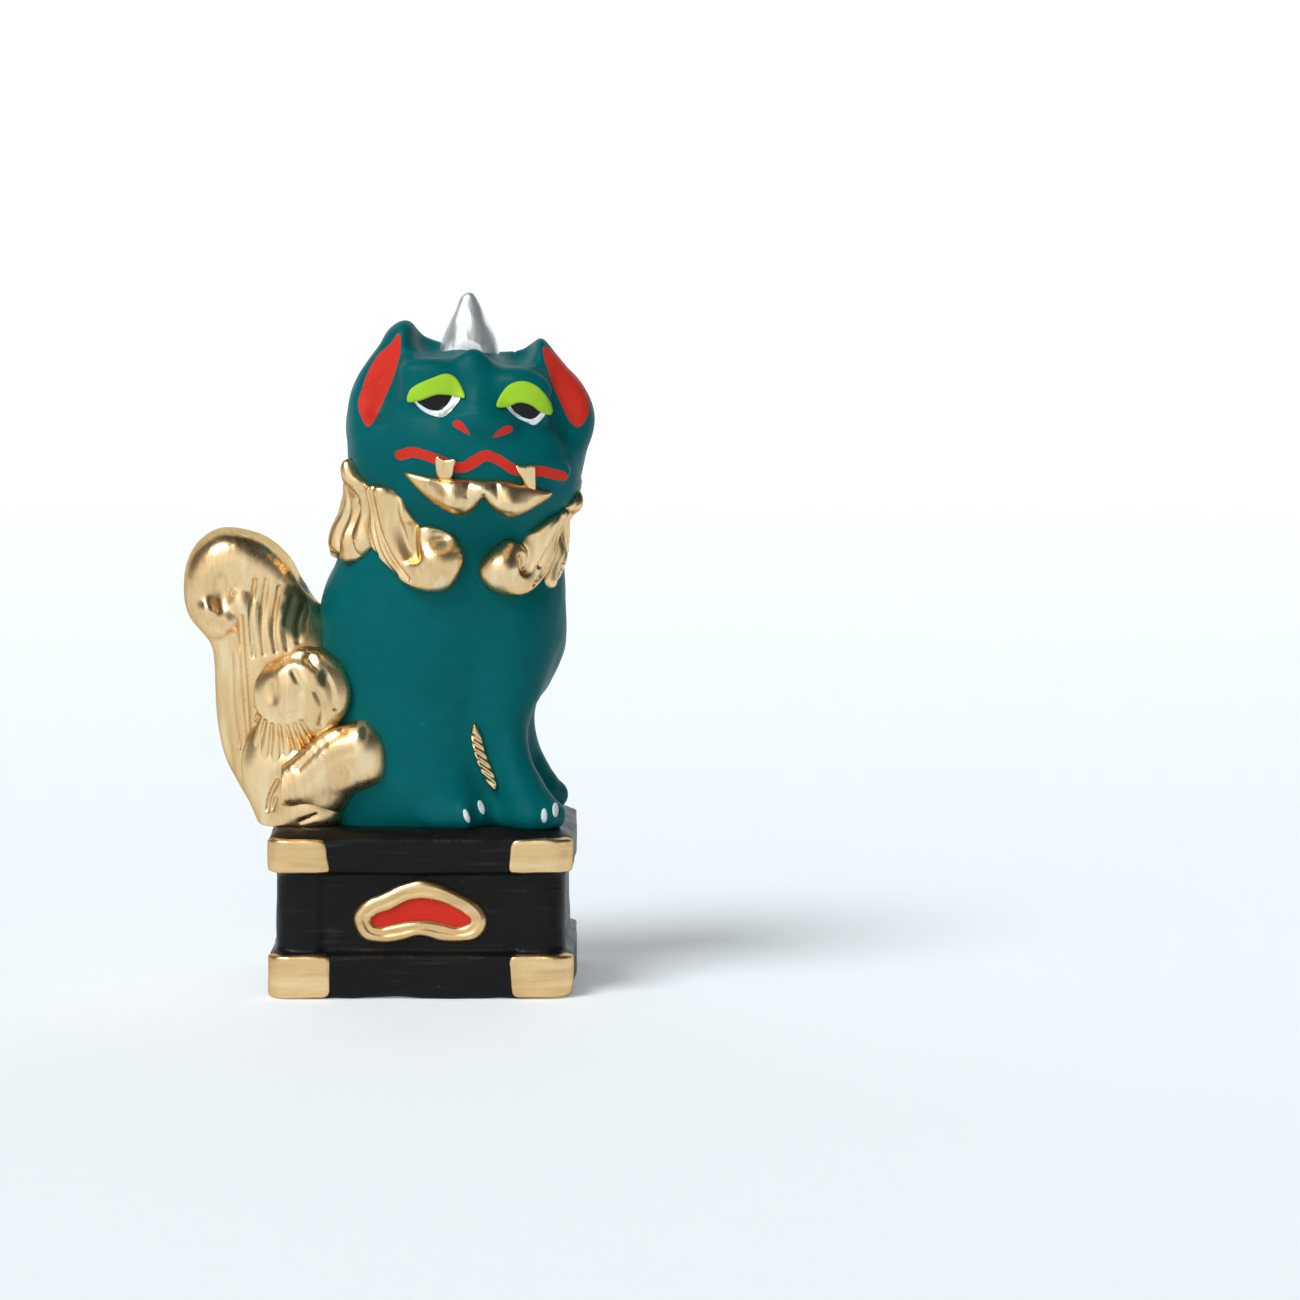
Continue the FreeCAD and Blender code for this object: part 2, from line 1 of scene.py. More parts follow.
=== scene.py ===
"""Guardian lion-dog: a hand-painted, moulded clay figure seated on a black plinth.

The clay is worked as fields over blocks of space. A field holds, at every point, the distance in
millimetres to a surface, negative inside the clay. Soft unions, pressed outlines and cut grooves
shape it as fingers and a wooden tool would, and each piece is then skinned as a mesh of its own.
Painted marks are kept on a piece as distances from the brush's outline, which its finish reads.

Lengths are in millimetres and the meshes in metres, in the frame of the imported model: +Z up, the
origin under the middle of the plinth, the body facing +X and the face turned to look along -Y.
"""

import json
import logging
import math
from dataclasses import dataclass, field
from enum import Enum
from typing import Callable, Iterable, Sequence

import bpy
import numpy as np
import openvdb
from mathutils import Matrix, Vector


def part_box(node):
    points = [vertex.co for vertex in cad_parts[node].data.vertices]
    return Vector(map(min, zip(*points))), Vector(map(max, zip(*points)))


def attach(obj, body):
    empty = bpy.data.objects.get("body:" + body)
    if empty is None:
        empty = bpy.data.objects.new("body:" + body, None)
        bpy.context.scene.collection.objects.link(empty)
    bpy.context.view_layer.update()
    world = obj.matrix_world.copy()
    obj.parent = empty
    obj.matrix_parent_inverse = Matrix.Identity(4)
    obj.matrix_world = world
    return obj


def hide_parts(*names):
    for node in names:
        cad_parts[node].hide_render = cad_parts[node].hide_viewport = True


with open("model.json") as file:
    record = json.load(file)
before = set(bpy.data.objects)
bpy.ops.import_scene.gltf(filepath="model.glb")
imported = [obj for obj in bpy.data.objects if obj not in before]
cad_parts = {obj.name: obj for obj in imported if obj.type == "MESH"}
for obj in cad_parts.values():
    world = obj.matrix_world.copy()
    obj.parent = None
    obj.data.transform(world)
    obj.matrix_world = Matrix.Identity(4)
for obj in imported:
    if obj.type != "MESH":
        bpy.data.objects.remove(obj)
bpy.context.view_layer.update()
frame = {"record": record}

log = logging.getLogger("lion_dog")

MM = 0.001
Array = np.ndarray
Point = tuple[float, float]
Spot = tuple[float, float, float]


def middle(node: str) -> Array:
    """The centre of a CAD node's box, in millimetres."""
    low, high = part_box(node)
    return (np.array(low) + np.array(high)) / 2 / MM


def top(node: str) -> float:
    """The height of a CAD node's highest point, in millimetres."""
    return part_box(node)[1].z / MM


# --------------------------------------------------------------------------- clay fields


class Grain(Enum):
    """How fine a lattice a piece is worked on: the cell in millimetres, in a trial and for good."""

    BULK = (0.45, 0.33)
    LARGE = (0.42, 0.27)
    BROAD = (0.34, 0.205)
    MIDDLE = (0.32, 0.19)
    FINE = (0.2, 0.12)
    DETAIL = (0.12, 0.08)

    @property
    def cell(self) -> float:
        """The cell's size for this run."""
        return self.value[1]


class Lattice:
    """A block of space on a regular lattice, in millimetres, that fields are worked out over."""

    def __init__(self, low: Sequence[float], high: Sequence[float], grain: Grain) -> None:
        """Lays the lattice out.

        Args:
            low: The block's lowest corner.
            high: Its highest corner.
            grain: How fine it is.
        """
        self.cell = grain.cell
        self.low = np.array(low, np.float32)
        counts = np.ceil((np.array(high) - self.low) / self.cell).astype(int) + 1
        x, y, z = (
            self.low[i] + self.cell * np.arange(counts[i], dtype=np.float32) for i in range(3)
        )
        self.x, self.y, self.z = x[:, None, None], y[None, :, None], z[None, None, :]

    def changed(self, **axes: Array) -> "Lattice":
        """The same lattice with some of its coordinates replaced, as for a mirrored form."""
        other = object.__new__(Lattice)
        other.__dict__.update(self.__dict__)
        other.__dict__.update(axes)
        return other

    def folded(self) -> "Lattice":
        """The lattice seen from the front half: what stands at -y stands at +y too."""
        return self.changed(y=-np.abs(self.y))

    def full(self, values: Array) -> Array:
        """Spreads a field that doesn't vary along every axis over the whole block."""
        shape = np.broadcast_shapes(self.x.shape, self.y.shape, self.z.shape)
        return np.broadcast_to(values, shape).astype(np.float32)


def melt(a: Array, b: Array, reach: float) -> Array:
    """Joins two lumps, with a fillet about as wide as reach."""
    overlap = np.maximum(reach - np.abs(a - b), 0) / reach
    return np.minimum(a, b) - overlap * overlap * reach / 4


def press(a: Array, b: Array, reach: float) -> Array:
    """Keeps what two lumps share, with the edge rounded over about reach."""
    return -melt(-a, -b, reach)


def ball(at: Lattice, centre: Sequence[float], radii: Sequence[float]) -> Array:
    """An oval lump with its axes along the frame's.

    Args:
        at: Where the field is wanted.
        centre: Its centre.
        radii: Its radii along x, y and z.

    Returns:
        The field, close to a true distance near the surface.
    """
    offsets = (at.x - centre[0], at.y - centre[1], at.z - centre[2])
    near = np.sqrt(sum((o / r) ** 2 for o, r in zip(offsets, radii)) + 1e-9)
    slope = np.sqrt(sum((o / (r * r)) ** 2 for o, r in zip(offsets, radii)) + 1e-9)
    return near * (near - 1) / slope


def pillow(at: Lattice, centre: Sequence[float], radii: Sequence[float]) -> Array:
    """A lump that is rounded only to the front of its centre, and runs straight back from there."""
    return ball(at.changed(y=np.minimum(at.y, centre[1])), centre, radii)


def smooth_path(points: Sequence[Sequence[float]], closed: bool = False, steps: int = 6) -> Array:
    """A smooth curve through points.

    Args:
        points: The points that it passes, in any number of dimensions.
        closed: Whether it comes back to its first point.
        steps: How many short runs each span is divided into.

    Returns:
        The points along the curve, one row each.
    """
    p = np.array(points, float)
    if closed:
        p = np.vstack([p[-1:], p, p[:2]])
    else:
        p = np.vstack([2 * p[:1] - p[1:2], p, 2 * p[-1:] - p[-2:-1]])
    share = np.linspace(0, 1, steps, endpoint=False)[:, None]
    spans = []
    for a, b, c, d in zip(p[:-3], p[1:-2], p[2:-1], p[3:]):
        bend = (2 * a - 5 * b + 4 * c - d) * share**2 + (3 * b - a - 3 * c + d) * share**3
        spans.append(b + ((c - a) * share + bend) / 2)
    if not closed:
        spans.append(p[-2:-1])
    return np.vstack(spans)


def strand(at: Lattice, stations: Sequence[Sequence[float]], steps: int = 4) -> Array:
    """A rolled strand of clay that swells and thins along a smooth curve.

    Args:
        at: Where the field is wanted.
        stations: x, y, z and the radius at each point that it passes.
        steps: How many straight runs each span is divided into.

    Returns:
        The field.
    """
    path = smooth_path(stations, steps=steps)
    result = None
    for start, end in zip(path[:-1], path[1:]):
        run = end - start
        dx, dy, dz = at.x - start[0], at.y - start[1], at.z - start[2]
        along = (dx * run[0] + dy * run[1] + dz * run[2]) / max(float(run[:3] @ run[:3]), 1e-9)
        along = np.clip(along, 0, 1)
        gap = (dx - along * run[0]) ** 2 + (dy - along * run[1]) ** 2 + (dz - along * run[2]) ** 2
        lump = np.sqrt(gap) - (start[3] + along * run[3])
        result = lump if result is None else np.minimum(result, lump)
    return result


def loft(at: Lattice, sections: Sequence[Sequence[float]], squareness: float = 2.0) -> Array:
    """A lump whose level sections are ovals that change smoothly with height.

    Args:
        at: Where the field is wanted.
        sections: Height, centre x, centre y, radius along x and radius along y, from the lowest up.
        squareness: 2 for an ellipse, more for a squarer oval.

    Returns:
        The field, closed at the first and last heights.
    """
    table = smooth_path(sections, steps=12)
    cx, cy, rx, ry = (np.interp(at.z, table[:, 0], table[:, i]) for i in range(1, 5))
    u, v = np.abs(at.x - cx) / rx, np.abs(at.y - cy) / ry
    around = (u**squareness + v**squareness + 1e-9) ** (1 / squareness)
    side = (around - 1) * np.minimum(rx, ry)
    ends = np.maximum(sections[0][0] - at.z, at.z - sections[-1][0])
    return press(side, ends, 2.0)


def touch(at: Lattice, amount: float, span: float, seed: float) -> Array:
    """The slow unevenness that hands leave on clay.

    Args:
        at: Where the field is wanted.
        amount: Its height, in millimetres.
        span: The usual distance from one rise to the next.
        seed: Sets where the rises fall.

    Returns:
        A field to add to another.
    """
    turn = 2 * math.pi / span
    waves = (
        np.sin(at.x * turn + 1.7 * seed) * np.sin(at.z * turn * 0.83 + seed)
        + np.sin(at.y * turn * 1.1 + 0.6 * seed) * np.sin(at.x * turn * 0.47 - at.z * turn * 0.71)
        + np.sin((at.x + at.z - at.y) * turn * 0.59 + 2.3 * seed)
    )
    return waves * (amount / 3)


class Stencil:
    """A line or an outline on a flat sheet, kept as a table of distances that fields look up."""

    MARGIN = 5.0

    def __init__(self, points: Sequence[Point], closed: bool = True, pitch: float = 0.1) -> None:
        """Draws the stencil.

        Args:
            points: The points that its smooth line passes.
            closed: Whether it is an outline, with an inside.
            pitch: The table's spacing, in millimetres.
        """
        path = smooth_path(points, closed=closed)
        self.pitch = pitch
        self.low = path.min(0) - self.MARGIN
        counts = np.ceil((path.max(0) + self.MARGIN - self.low) / pitch).astype(int) + 2
        s = (self.low[0] + pitch * np.arange(counts[0]))[:, None].astype(np.float32)
        t = (self.low[1] + pitch * np.arange(counts[1]))[None, :].astype(np.float32)
        near = np.full((counts[0], counts[1]), 1e9, np.float32)
        inside = np.zeros(near.shape, bool)
        ends = np.roll(path, -1, 0) if closed else path[1:]
        for (a, b), (c, d) in zip(path, ends):
            run = max((c - a) ** 2 + (d - b) ** 2, 1e-12)
            along = np.clip(((s - a) * (c - a) + (t - b) * (d - b)) / run, 0, 1)
            gap = (s - a - along * (c - a)) ** 2 + (t - b - along * (d - b)) ** 2
            near = np.minimum(near, gap)
            if closed and b != d:
                crossed = ((b > t) != (d > t)) & (s < (c - a) * (t - b) / (d - b) + a)
                inside ^= crossed
        self.table = np.sqrt(near) * np.where(inside, -1, 1)

    def __call__(self, s: Array, t: Array) -> Array:
        """The distance at sheet coordinates s and t, negative inside an outline."""
        last = np.array(self.table.shape) - 1.001
        i = np.clip((s - self.low[0]) / self.pitch, 0, last[0])
        j = np.clip((t - self.low[1]) / self.pitch, 0, last[1])
        i, j = np.broadcast_arrays(i, j)
        i0, j0 = i.astype(int), j.astype(int)
        fi, fj = i - i0, j - j0
        near = self.table[i0, j0] * (1 - fi) + self.table[i0 + 1, j0] * fi
        far = self.table[i0, j0 + 1] * (1 - fi) + self.table[i0 + 1, j0 + 1] * fi
        return (near * (1 - fj) + far * fj).astype(np.float32)


@dataclass(frozen=True)
class Groove:
    """A line drawn in soft clay with a rounded tool.

    Attributes:
        points: The sheet points that it passes.
        width: Half its width.
        depth: How deep it goes. A negative depth raises a ridge.
    """

    points: tuple[Point, ...]
    width: float = 0.35
    depth: float = 0.35

    def depth_at(self, s: Array, t: Array) -> Array:
        """How deep the clay is cut at sheet coordinates."""
        gap = Stencil(self.points, closed=False)(s, t)
        return self.depth * np.exp(-((gap / self.width) ** 2))


@dataclass(frozen=True)
class Swell:
    """A rounded rise, or a dimple where its height is negative, in a sheet of clay."""

    place: Point
    reach: float
    height: float

    def height_at(self, s: Array, t: Array) -> Array:
        """How far the clay is raised at sheet coordinates."""
        gap = (s - self.place[0]) ** 2 + (t - self.place[1]) ** 2
        return self.height * np.exp(-gap / self.reach**2)


@dataclass(frozen=True)
class Relief:
    """A shape pressed from sheet clay and luted on to a form.

    Attributes:
        outline: Its smooth outline on the sheet.
        height: How far it stands proud.
        roundness: How far in from the outline its edge is rounded.
        grooves: Lines tooled in its face.
        swells: Rises and dimples.
        bed: How deep it is set in.
    """

    outline: tuple[Point, ...]
    height: float
    roundness: float = 0.8
    grooves: tuple[Groove, ...] = ()
    swells: tuple[Swell, ...] = ()
    bed: float = 0.8

    def over(self, form: Array, s: Array, t: Array) -> Array:
        """Lays the relief on a form.

        Args:
            form: The field of the form that it is luted on to.
            s: Sheet coordinate across, over the lattice.
            t: Sheet coordinate up.

        Returns:
            The relief's field.
        """
        lift = self.height
        for swell in self.swells:
            lift = lift + swell.height_at(s, t)
        for groove in self.grooves:
            lift = lift - groove.depth_at(s, t)
        edge = Stencil(self.outline)(s, t)
        return np.maximum(press(edge, form - lift, self.roundness), -form - self.bed)


# --------------------------------------------------------------------------- finishes


class Signal:
    """A shader socket that can be used in a sum, so that shader maths reads as maths."""

    def __init__(self, nodes: "Nodes", socket: bpy.types.NodeSocket) -> None:
        """Wraps an output socket of a node tree."""
        self.nodes = nodes
        self.socket = socket

    def _maths(self, operation: str, *values: "Signal | float") -> "Signal":
        """One Math node over this signal's tree."""
        return self.nodes.add("ShaderNodeMath", {"operation": operation}, dict(enumerate(values)))

    def __add__(self, other: "Signal | float") -> "Signal":
        """This plus other."""
        return self._maths("ADD", self, other)

    def __mul__(self, other: "Signal | float") -> "Signal":
        """This times other."""
        return self._maths("MULTIPLY", self, other)

    def __sub__(self, other: "Signal | float") -> "Signal":
        """This less other."""
        return self._maths("SUBTRACT", self, other)

    def __rsub__(self, other: float) -> "Signal":
        """Other less this."""
        return self._maths("SUBTRACT", other, self)

    def between(self, low: float, high: float) -> "Signal":
        """How far this has come from low to high, held to 0 and 1, with soft ends."""
        settings = {"interpolation_type": "SMOOTHSTEP"}
        return self.nodes.add("ShaderNodeMapRange", settings, {0: self, 1: low, 2: high})


class Nodes:
    """The node tree of a finish, or of the room."""

    def __init__(
        self, owner: bpy.types.Material | bpy.types.World, shader: str = "Principled BSDF",
        space: str = "Object",
    ) -> None:
        """Opens the tree.

        Args:
            owner: What the tree belongs to.
            shader: The name of the shader that its signals are wired to.
            space: Which coordinates its patterns are placed by.
        """
        owner.use_nodes = True
        self.owner = owner
        self.tree = owner.node_tree
        self.shader = self.tree.nodes[shader]
        self.place = self.add("ShaderNodeTexCoord", {}, {}, space)

    @classmethod
    def finish(cls, name: str) -> "Nodes":
        """Starts a material with a bare Principled shader."""
        return cls(bpy.data.materials.new(name))

    def add(
        self, kind: str, settings: dict[str, object], inputs: dict[object, object],
        output: str | int = 0,
    ) -> Signal:
        """Adds a node.

        Args:
            kind: The node's type.
            settings: Its properties, set before anything is linked.
            inputs: Values or signals for its sockets, by name or number.
            output: The socket to give back.

        Returns:
            The signal of that output.
        """
        node = self.tree.nodes.new(kind)
        for name, value in settings.items():
            if name == "stops":
                self._set_stops(node.color_ramp, value)
            else:
                setattr(node, name, value)
        for key, value in inputs.items():
            if isinstance(value, Signal):
                self.tree.links.new(value.socket, node.inputs[key])
            else:
                node.inputs[key].default_value = value
        return Signal(self, node.outputs[output])

    @staticmethod
    def _set_stops(ramp: bpy.types.ColorRamp, stops: Iterable[tuple[float, Sequence[float]]]) -> None:
        """Gives a colour ramp its stops, each a place and a colour."""
        for number, (place, colour) in enumerate(stops):
            stop = ramp.elements[number] if number < 2 else ramp.elements.new(place)
            stop.position = place
            stop.color = (*colour, 1.0)

    def mapped(self, per_mm: Sequence[float], shift: Spot) -> Signal:
        """Where a pattern is read.

        Args:
            per_mm: How many of the pattern's units go to a millimetre along each axis.
            shift: How far the pattern is moved, in its own units.

        Returns:
            The place, in the pattern's units.
        """
        scale = tuple(1000 * rate for rate in per_mm)
        inputs = {"Vector": self.place, "Scale": scale, "Location": shift}
        return self.add("ShaderNodeMapping", {}, inputs)

    def noise(self, per_mm: Sequence[float], detail: float = 3.0, seed: float = 0.0) -> Signal:
        """Fractal noise from 0 to 1.

        Args:
            per_mm: How many swings it makes in a millimetre along each axis.
            detail: How many finer layers it has.
            seed: Moves the pattern.

        Returns:
            The noise.
        """
        mapped = self.mapped(per_mm, (seed, 2 * seed, 3 * seed))
        return self.add("ShaderNodeTexNoise", {}, {"Vector": mapped, "Scale": 1.0, "Detail": detail})

    def specks(self, per_mm: float, size: float, seed: float = 0.0) -> Signal:
        """Sparse round specks, 1 inside and 0 outside, size being a share of their spacing."""
        mapped = self.mapped((per_mm,) * 3, (seed,) * 3)
        cell = self.add("ShaderNodeTexVoronoi", {}, {"Vector": mapped, "Scale": 1.0}, "Distance")
        return 1 - cell.between(size * 0.6, size)

    def mark(self, name: str) -> Signal:
        """A painted mark's distance in millimetres, as it is kept on the mesh."""
        settings = {"attribute_type": "GEOMETRY", "attribute_name": name}
        return self.add("ShaderNodeAttribute", settings, {}, "Fac")

    def mix(self, share: "Signal | float", under: object, over: object) -> Signal:
        """One colour over another by share."""
        inputs = {0: share, 6: self._colour(under), 7: self._colour(over)}
        return self.add("ShaderNodeMix", {"data_type": "RGBA"}, inputs, 2)

    @staticmethod
    def _colour(value: object) -> object:
        """A colour as a socket takes it."""
        return value if isinstance(value, Signal) else (*value, 1.0)

    def bump(self, height: Signal, depth: float) -> Signal:
        """A bump whose height signal of 1 stands depth millimetres proud."""
        return self.add("ShaderNodeBump", {}, {"Height": height, "Distance": depth * MM}, "Normal")

    def wire(self, **sockets: object) -> bpy.types.Material | bpy.types.World:
        """Sets the shader's sockets, an underscore standing for a space, and gives their owner."""
        for name, value in sockets.items():
            socket = self.shader.inputs[name.replace("_", " ")]
            if isinstance(value, Signal):
                self.tree.links.new(value.socket, socket)
            else:
                socket.default_value = value
        return self.owner


RGB = tuple[float, float, float]
VERMILION: RGB = (0.64, 0.036, 0.022)
LIME: RGB = (0.34, 0.62, 0.032)
TEAL: RGB = (0.0002, 0.102, 0.109)
BLACK: RGB = (0.004, 0.004, 0.004)


@dataclass(frozen=True)
class SatinPaint:
    """Smooth opaque paint on clay, with the painted marks of other colours over it.

    Attributes:
        name: The material's name.
        colour: The ground colour.
        thin: The colour where the coat is thin.
        marks: Mark name to its colour.
        roughness: The ground's roughness.
        streaks: How strongly brush streaks show, from 0 to 1.
    """

    name: str
    colour: RGB
    thin: RGB
    marks: tuple[tuple[str, RGB], ...] = ()
    roughness: float = 0.4
    streaks: float = 0.25

    def material(self) -> bpy.types.Material:
        """Builds the finish."""
        n = Nodes.finish(self.name)
        cloud = n.noise((0.09, 0.09, 0.06), 4.0, 3.0).between(0.3, 0.75)
        brush = n.noise((0.5, 0.5, 0.8), 4.0, 7.0).between(0.42, 0.8)
        specks = n.specks(0.22, 0.085, 4.0)
        coat = n.mix(cloud * 0.4 + brush * self.streaks + specks * 0.5, self.colour, self.thin)
        wobble = n.noise((0.9, 0.9, 0.9), 2.0, 11.0) - 0.5
        roughness = n.noise((0.5, 0.5, 0.2), 3.0, 5.0) * 0.14 + (self.roughness - 0.07)
        height = brush * 0.15 + n.noise((2.4, 2.4, 2.4), 2.0) * 0.35 + specks * 0.4
        for mark, colour in self.marks:
            edge = n.mark(mark) + wobble * 0.22
            stroke = 1 - edge.between(-0.035, 0.035)
            worn = n.mix(n.noise((0.7, 0.7, 0.7), 3.0, 9.0).between(0.35, 0.8) * 0.22, colour,
                         tuple(0.72 * c for c in colour))
            coat = n.mix(stroke, coat, worn)
            height = height + (1 - edge.between(-0.3, 0.03)) * 0.9
        return n.wire(
            Base_Color=coat, Roughness=roughness, Normal=n.bump(height, 0.05),
            Specular_IOR_Level=0.05,
        )


@dataclass(frozen=True)
class GiltPaint:
    """Bright gold metallic paint, brushed on, thin over the ground in places, with paler streaks painted
    in as highlights.

    Attributes:
        name: The material's name.
        bright: The metal's colour.
        deep: Its colour where the flake lies thicker and warmer.
        pale: The colour of the painted highlights, laid in paler streaks at random.
        edge: How the metal tints what it mirrors at a glance.
        grain: Swings a millimetre of the brush marks along x, y and z.
        bare: Whether the piece has places rubbed thin, kept as the mark "bare".
    """

    name: str
    bright: RGB = (0.88, 0.66, 0.37)
    deep: RGB = (0.66, 0.40, 0.16)
    pale: RGB = (0.98, 0.82, 0.54)
    edge: RGB = (0.62, 0.5, 0.34)
    grain: Spot = (1.5, 1.5, 0.16)
    bare: bool = False

    def material(self) -> bpy.types.Material:
        """Builds the finish."""
        n = Nodes.finish(self.name)
        cloud = n.noise((0.16, 0.16, 0.12), 4.0, 2.0).between(0.35, 0.75)
        brush = n.noise(self.grain, 3.0, 5.0)
        flake = n.noise((6.0, 6.0, 6.0), 2.0, 1.0)
        coat = n.mix(cloud * 0.5 + brush.between(0.45, 0.8) * 0.45, self.bright, self.deep)
        # Painted highlight: paler streaks mixed into the gold at random, standing in for its bright
        # glints.
        painted_highlight = n.noise(tuple(rate * 0.3 for rate in self.grain), 3.0, 12.0).between(0.5, 0.68)
        coat = n.mix(painted_highlight * 0.5, coat, self.pale)
        rings = n.specks(0.16, 0.11, 8.0) - n.specks(0.16, 0.07, 8.0)
        metallic = 1 - rings * 0.2
        rough = brush * 0.22 + flake * 0.1 + 0.14
        if self.bare:
            wobble = n.noise((0.8, 0.8, 0.5), 4.0, 6.0) - 0.5
            thin = (1 - (n.mark("bare") + wobble * 1.6).between(-0.45, 0.3)) * 0.95
            coat = n.mix(thin, coat, (0.02, 0.05, 0.022))
            metallic = metallic - thin * 0.8
            rough = rough + thin * 0.12
        height = brush * 0.7 + flake * 0.12 + rings * 0.8
        return n.wire(
            Base_Color=coat, Roughness=rough, Metallic=metallic, Normal=n.bump(height, 0.05),
            Specular_Tint=(*self.edge, 1.0),
        )


@dataclass(frozen=True)
class BlackLacquer:
    """Black satin paint with the dry streaks of a wide brush."""

    name: str = "black_lacquer"
    colour: RGB = BLACK
    streak: RGB = (0.034, 0.034, 0.036)

    def material(self) -> bpy.types.Material:
        """Builds the finish."""
        n = Nodes.finish(self.name)
        drag = n.noise((0.12, 0.2, 2.2), 4.0, 4.0).between(0.5, 0.78)
        patch = n.noise((0.12, 0.12, 0.2), 3.0, 9.0).between(0.4, 0.7)
        fleck = n.specks(0.45, 0.10, 3.0) * n.noise((0.08, 0.08, 0.08), 2.0, 2.0).between(0.52, 0.62)
        coat = n.mix(drag * patch * 0.8 + fleck * 0.4, self.colour, self.streak)
        rough = n.noise((0.3, 0.3, 0.8), 3.0, 6.0) * 0.2 + 0.3
        height = drag * 0.5 + n.noise((1.8, 1.8, 1.8), 3.0) * 0.5
        return n.wire(
            Base_Color=coat, Roughness=rough, Normal=n.bump(height, 0.1), Specular_IOR_Level=0.16,
        )


@dataclass(frozen=True)
class Silvering:
    """Silver metallic paint in streaks along the horn, with grey where it is thin."""

    name: str = "silvering"
    bright: RGB = (0.95, 0.97, 0.99)
    dark: RGB = (0.48, 0.55, 0.6)

    def material(self) -> bpy.types.Material:
        """Builds the finish."""
        n = Nodes.finish(self.name)
        streak = n.noise((0.9, 0.9, 0.14), 4.0, 5.0).between(0.5, 0.74)
        fleck = n.noise((2.6, 2.6, 1.2), 2.0, 2.0).between(0.56, 0.7)
        coat = n.mix(streak * 0.3 + fleck * 0.15, self.bright, self.dark)
        rough = streak * 0.12 + 0.42
        height = n.noise((1.6, 1.6, 0.3), 3.0, 5.0)
        return n.wire(Base_Color=coat, Roughness=rough, Metallic=0.92, Normal=n.bump(height, 0.07))


@dataclass(frozen=True)
class EyePaint:
    """Silver-white paint on the eyeball with a glossy black iris, kept as the mark "iris"."""

    name: str = "eye_paint"
    white: RGB = (0.78, 0.82, 0.85)

    def material(self) -> bpy.types.Material:
        """Builds the finish."""
        n = Nodes.finish(self.name)
        brush = n.noise((1.2, 1.2, 2.2), 3.0, 3.0).between(0.5, 0.75)
        white = n.mix(brush * 0.5, self.white, (0.34, 0.40, 0.43))
        edge = n.mark("iris") + (n.noise((0.9, 0.9, 0.9), 2.0, 4.0) - 0.5) * 0.2
        iris = 1 - edge.between(-0.03, 0.03)
        return n.wire(
            Base_Color=n.mix(iris, white, (0.007, 0.007, 0.009)),
            Roughness=0.32 - iris * 0.1,
            Metallic=0.7 - iris * 0.7,
            Normal=n.bump(brush + iris, 0.04),
            Specular_IOR_Level=0.2,
        )


class Finish(Enum):
    """The finishes of the figure, each built once."""

    BODY = SatinPaint("teal_clay", TEAL, (0.002, 0.14, 0.147))
    HEAD = SatinPaint("teal_face", TEAL, (0.002, 0.14, 0.147),
                      (("lip", VERMILION), ("nostrils", VERMILION), ("lining", VERMILION)))
    EAR = SatinPaint("teal_ear", TEAL, (0.002, 0.14, 0.147), (("lining", VERMILION),))
    LID = SatinPaint("lime", LIME, (0.42, 0.68, 0.06), roughness=0.42, streaks=0.25)
    FIELD = SatinPaint("vermilion", VERMILION, (0.5, 0.025, 0.015), roughness=0.4, streaks=0.25)
    CLAW = SatinPaint("claw_white", (0.72, 0.78, 0.80), (0.30, 0.42, 0.44), roughness=0.35)
    GILT = GiltPaint("gilt")
    GILT_TAIL = GiltPaint("gilt_tail", bare=True)
    # The mounts' third colour is their pale painted highlight.
    GILT_FLAT = GiltPaint(
        "gilt_mounts", (0.8, 0.56, 0.28), (0.6, 0.36, 0.14), (0.95, 0.76, 0.46), grain=(0.16, 0.16, 1.7)
    )
    BLACK = BlackLacquer()
    SILVER = Silvering()
    EYE = EyePaint()

    def dress(self, piece: bpy.types.Object) -> None:
        """Gives a piece this finish, built the first time that it is wanted."""
        if self not in _BUILT:
            _BUILT[self] = self.value.material()
        piece.data.materials.append(_BUILT[self])


_BUILT: dict[Finish, bpy.types.Material] = {}


# --------------------------------------------------------------------------- pieces


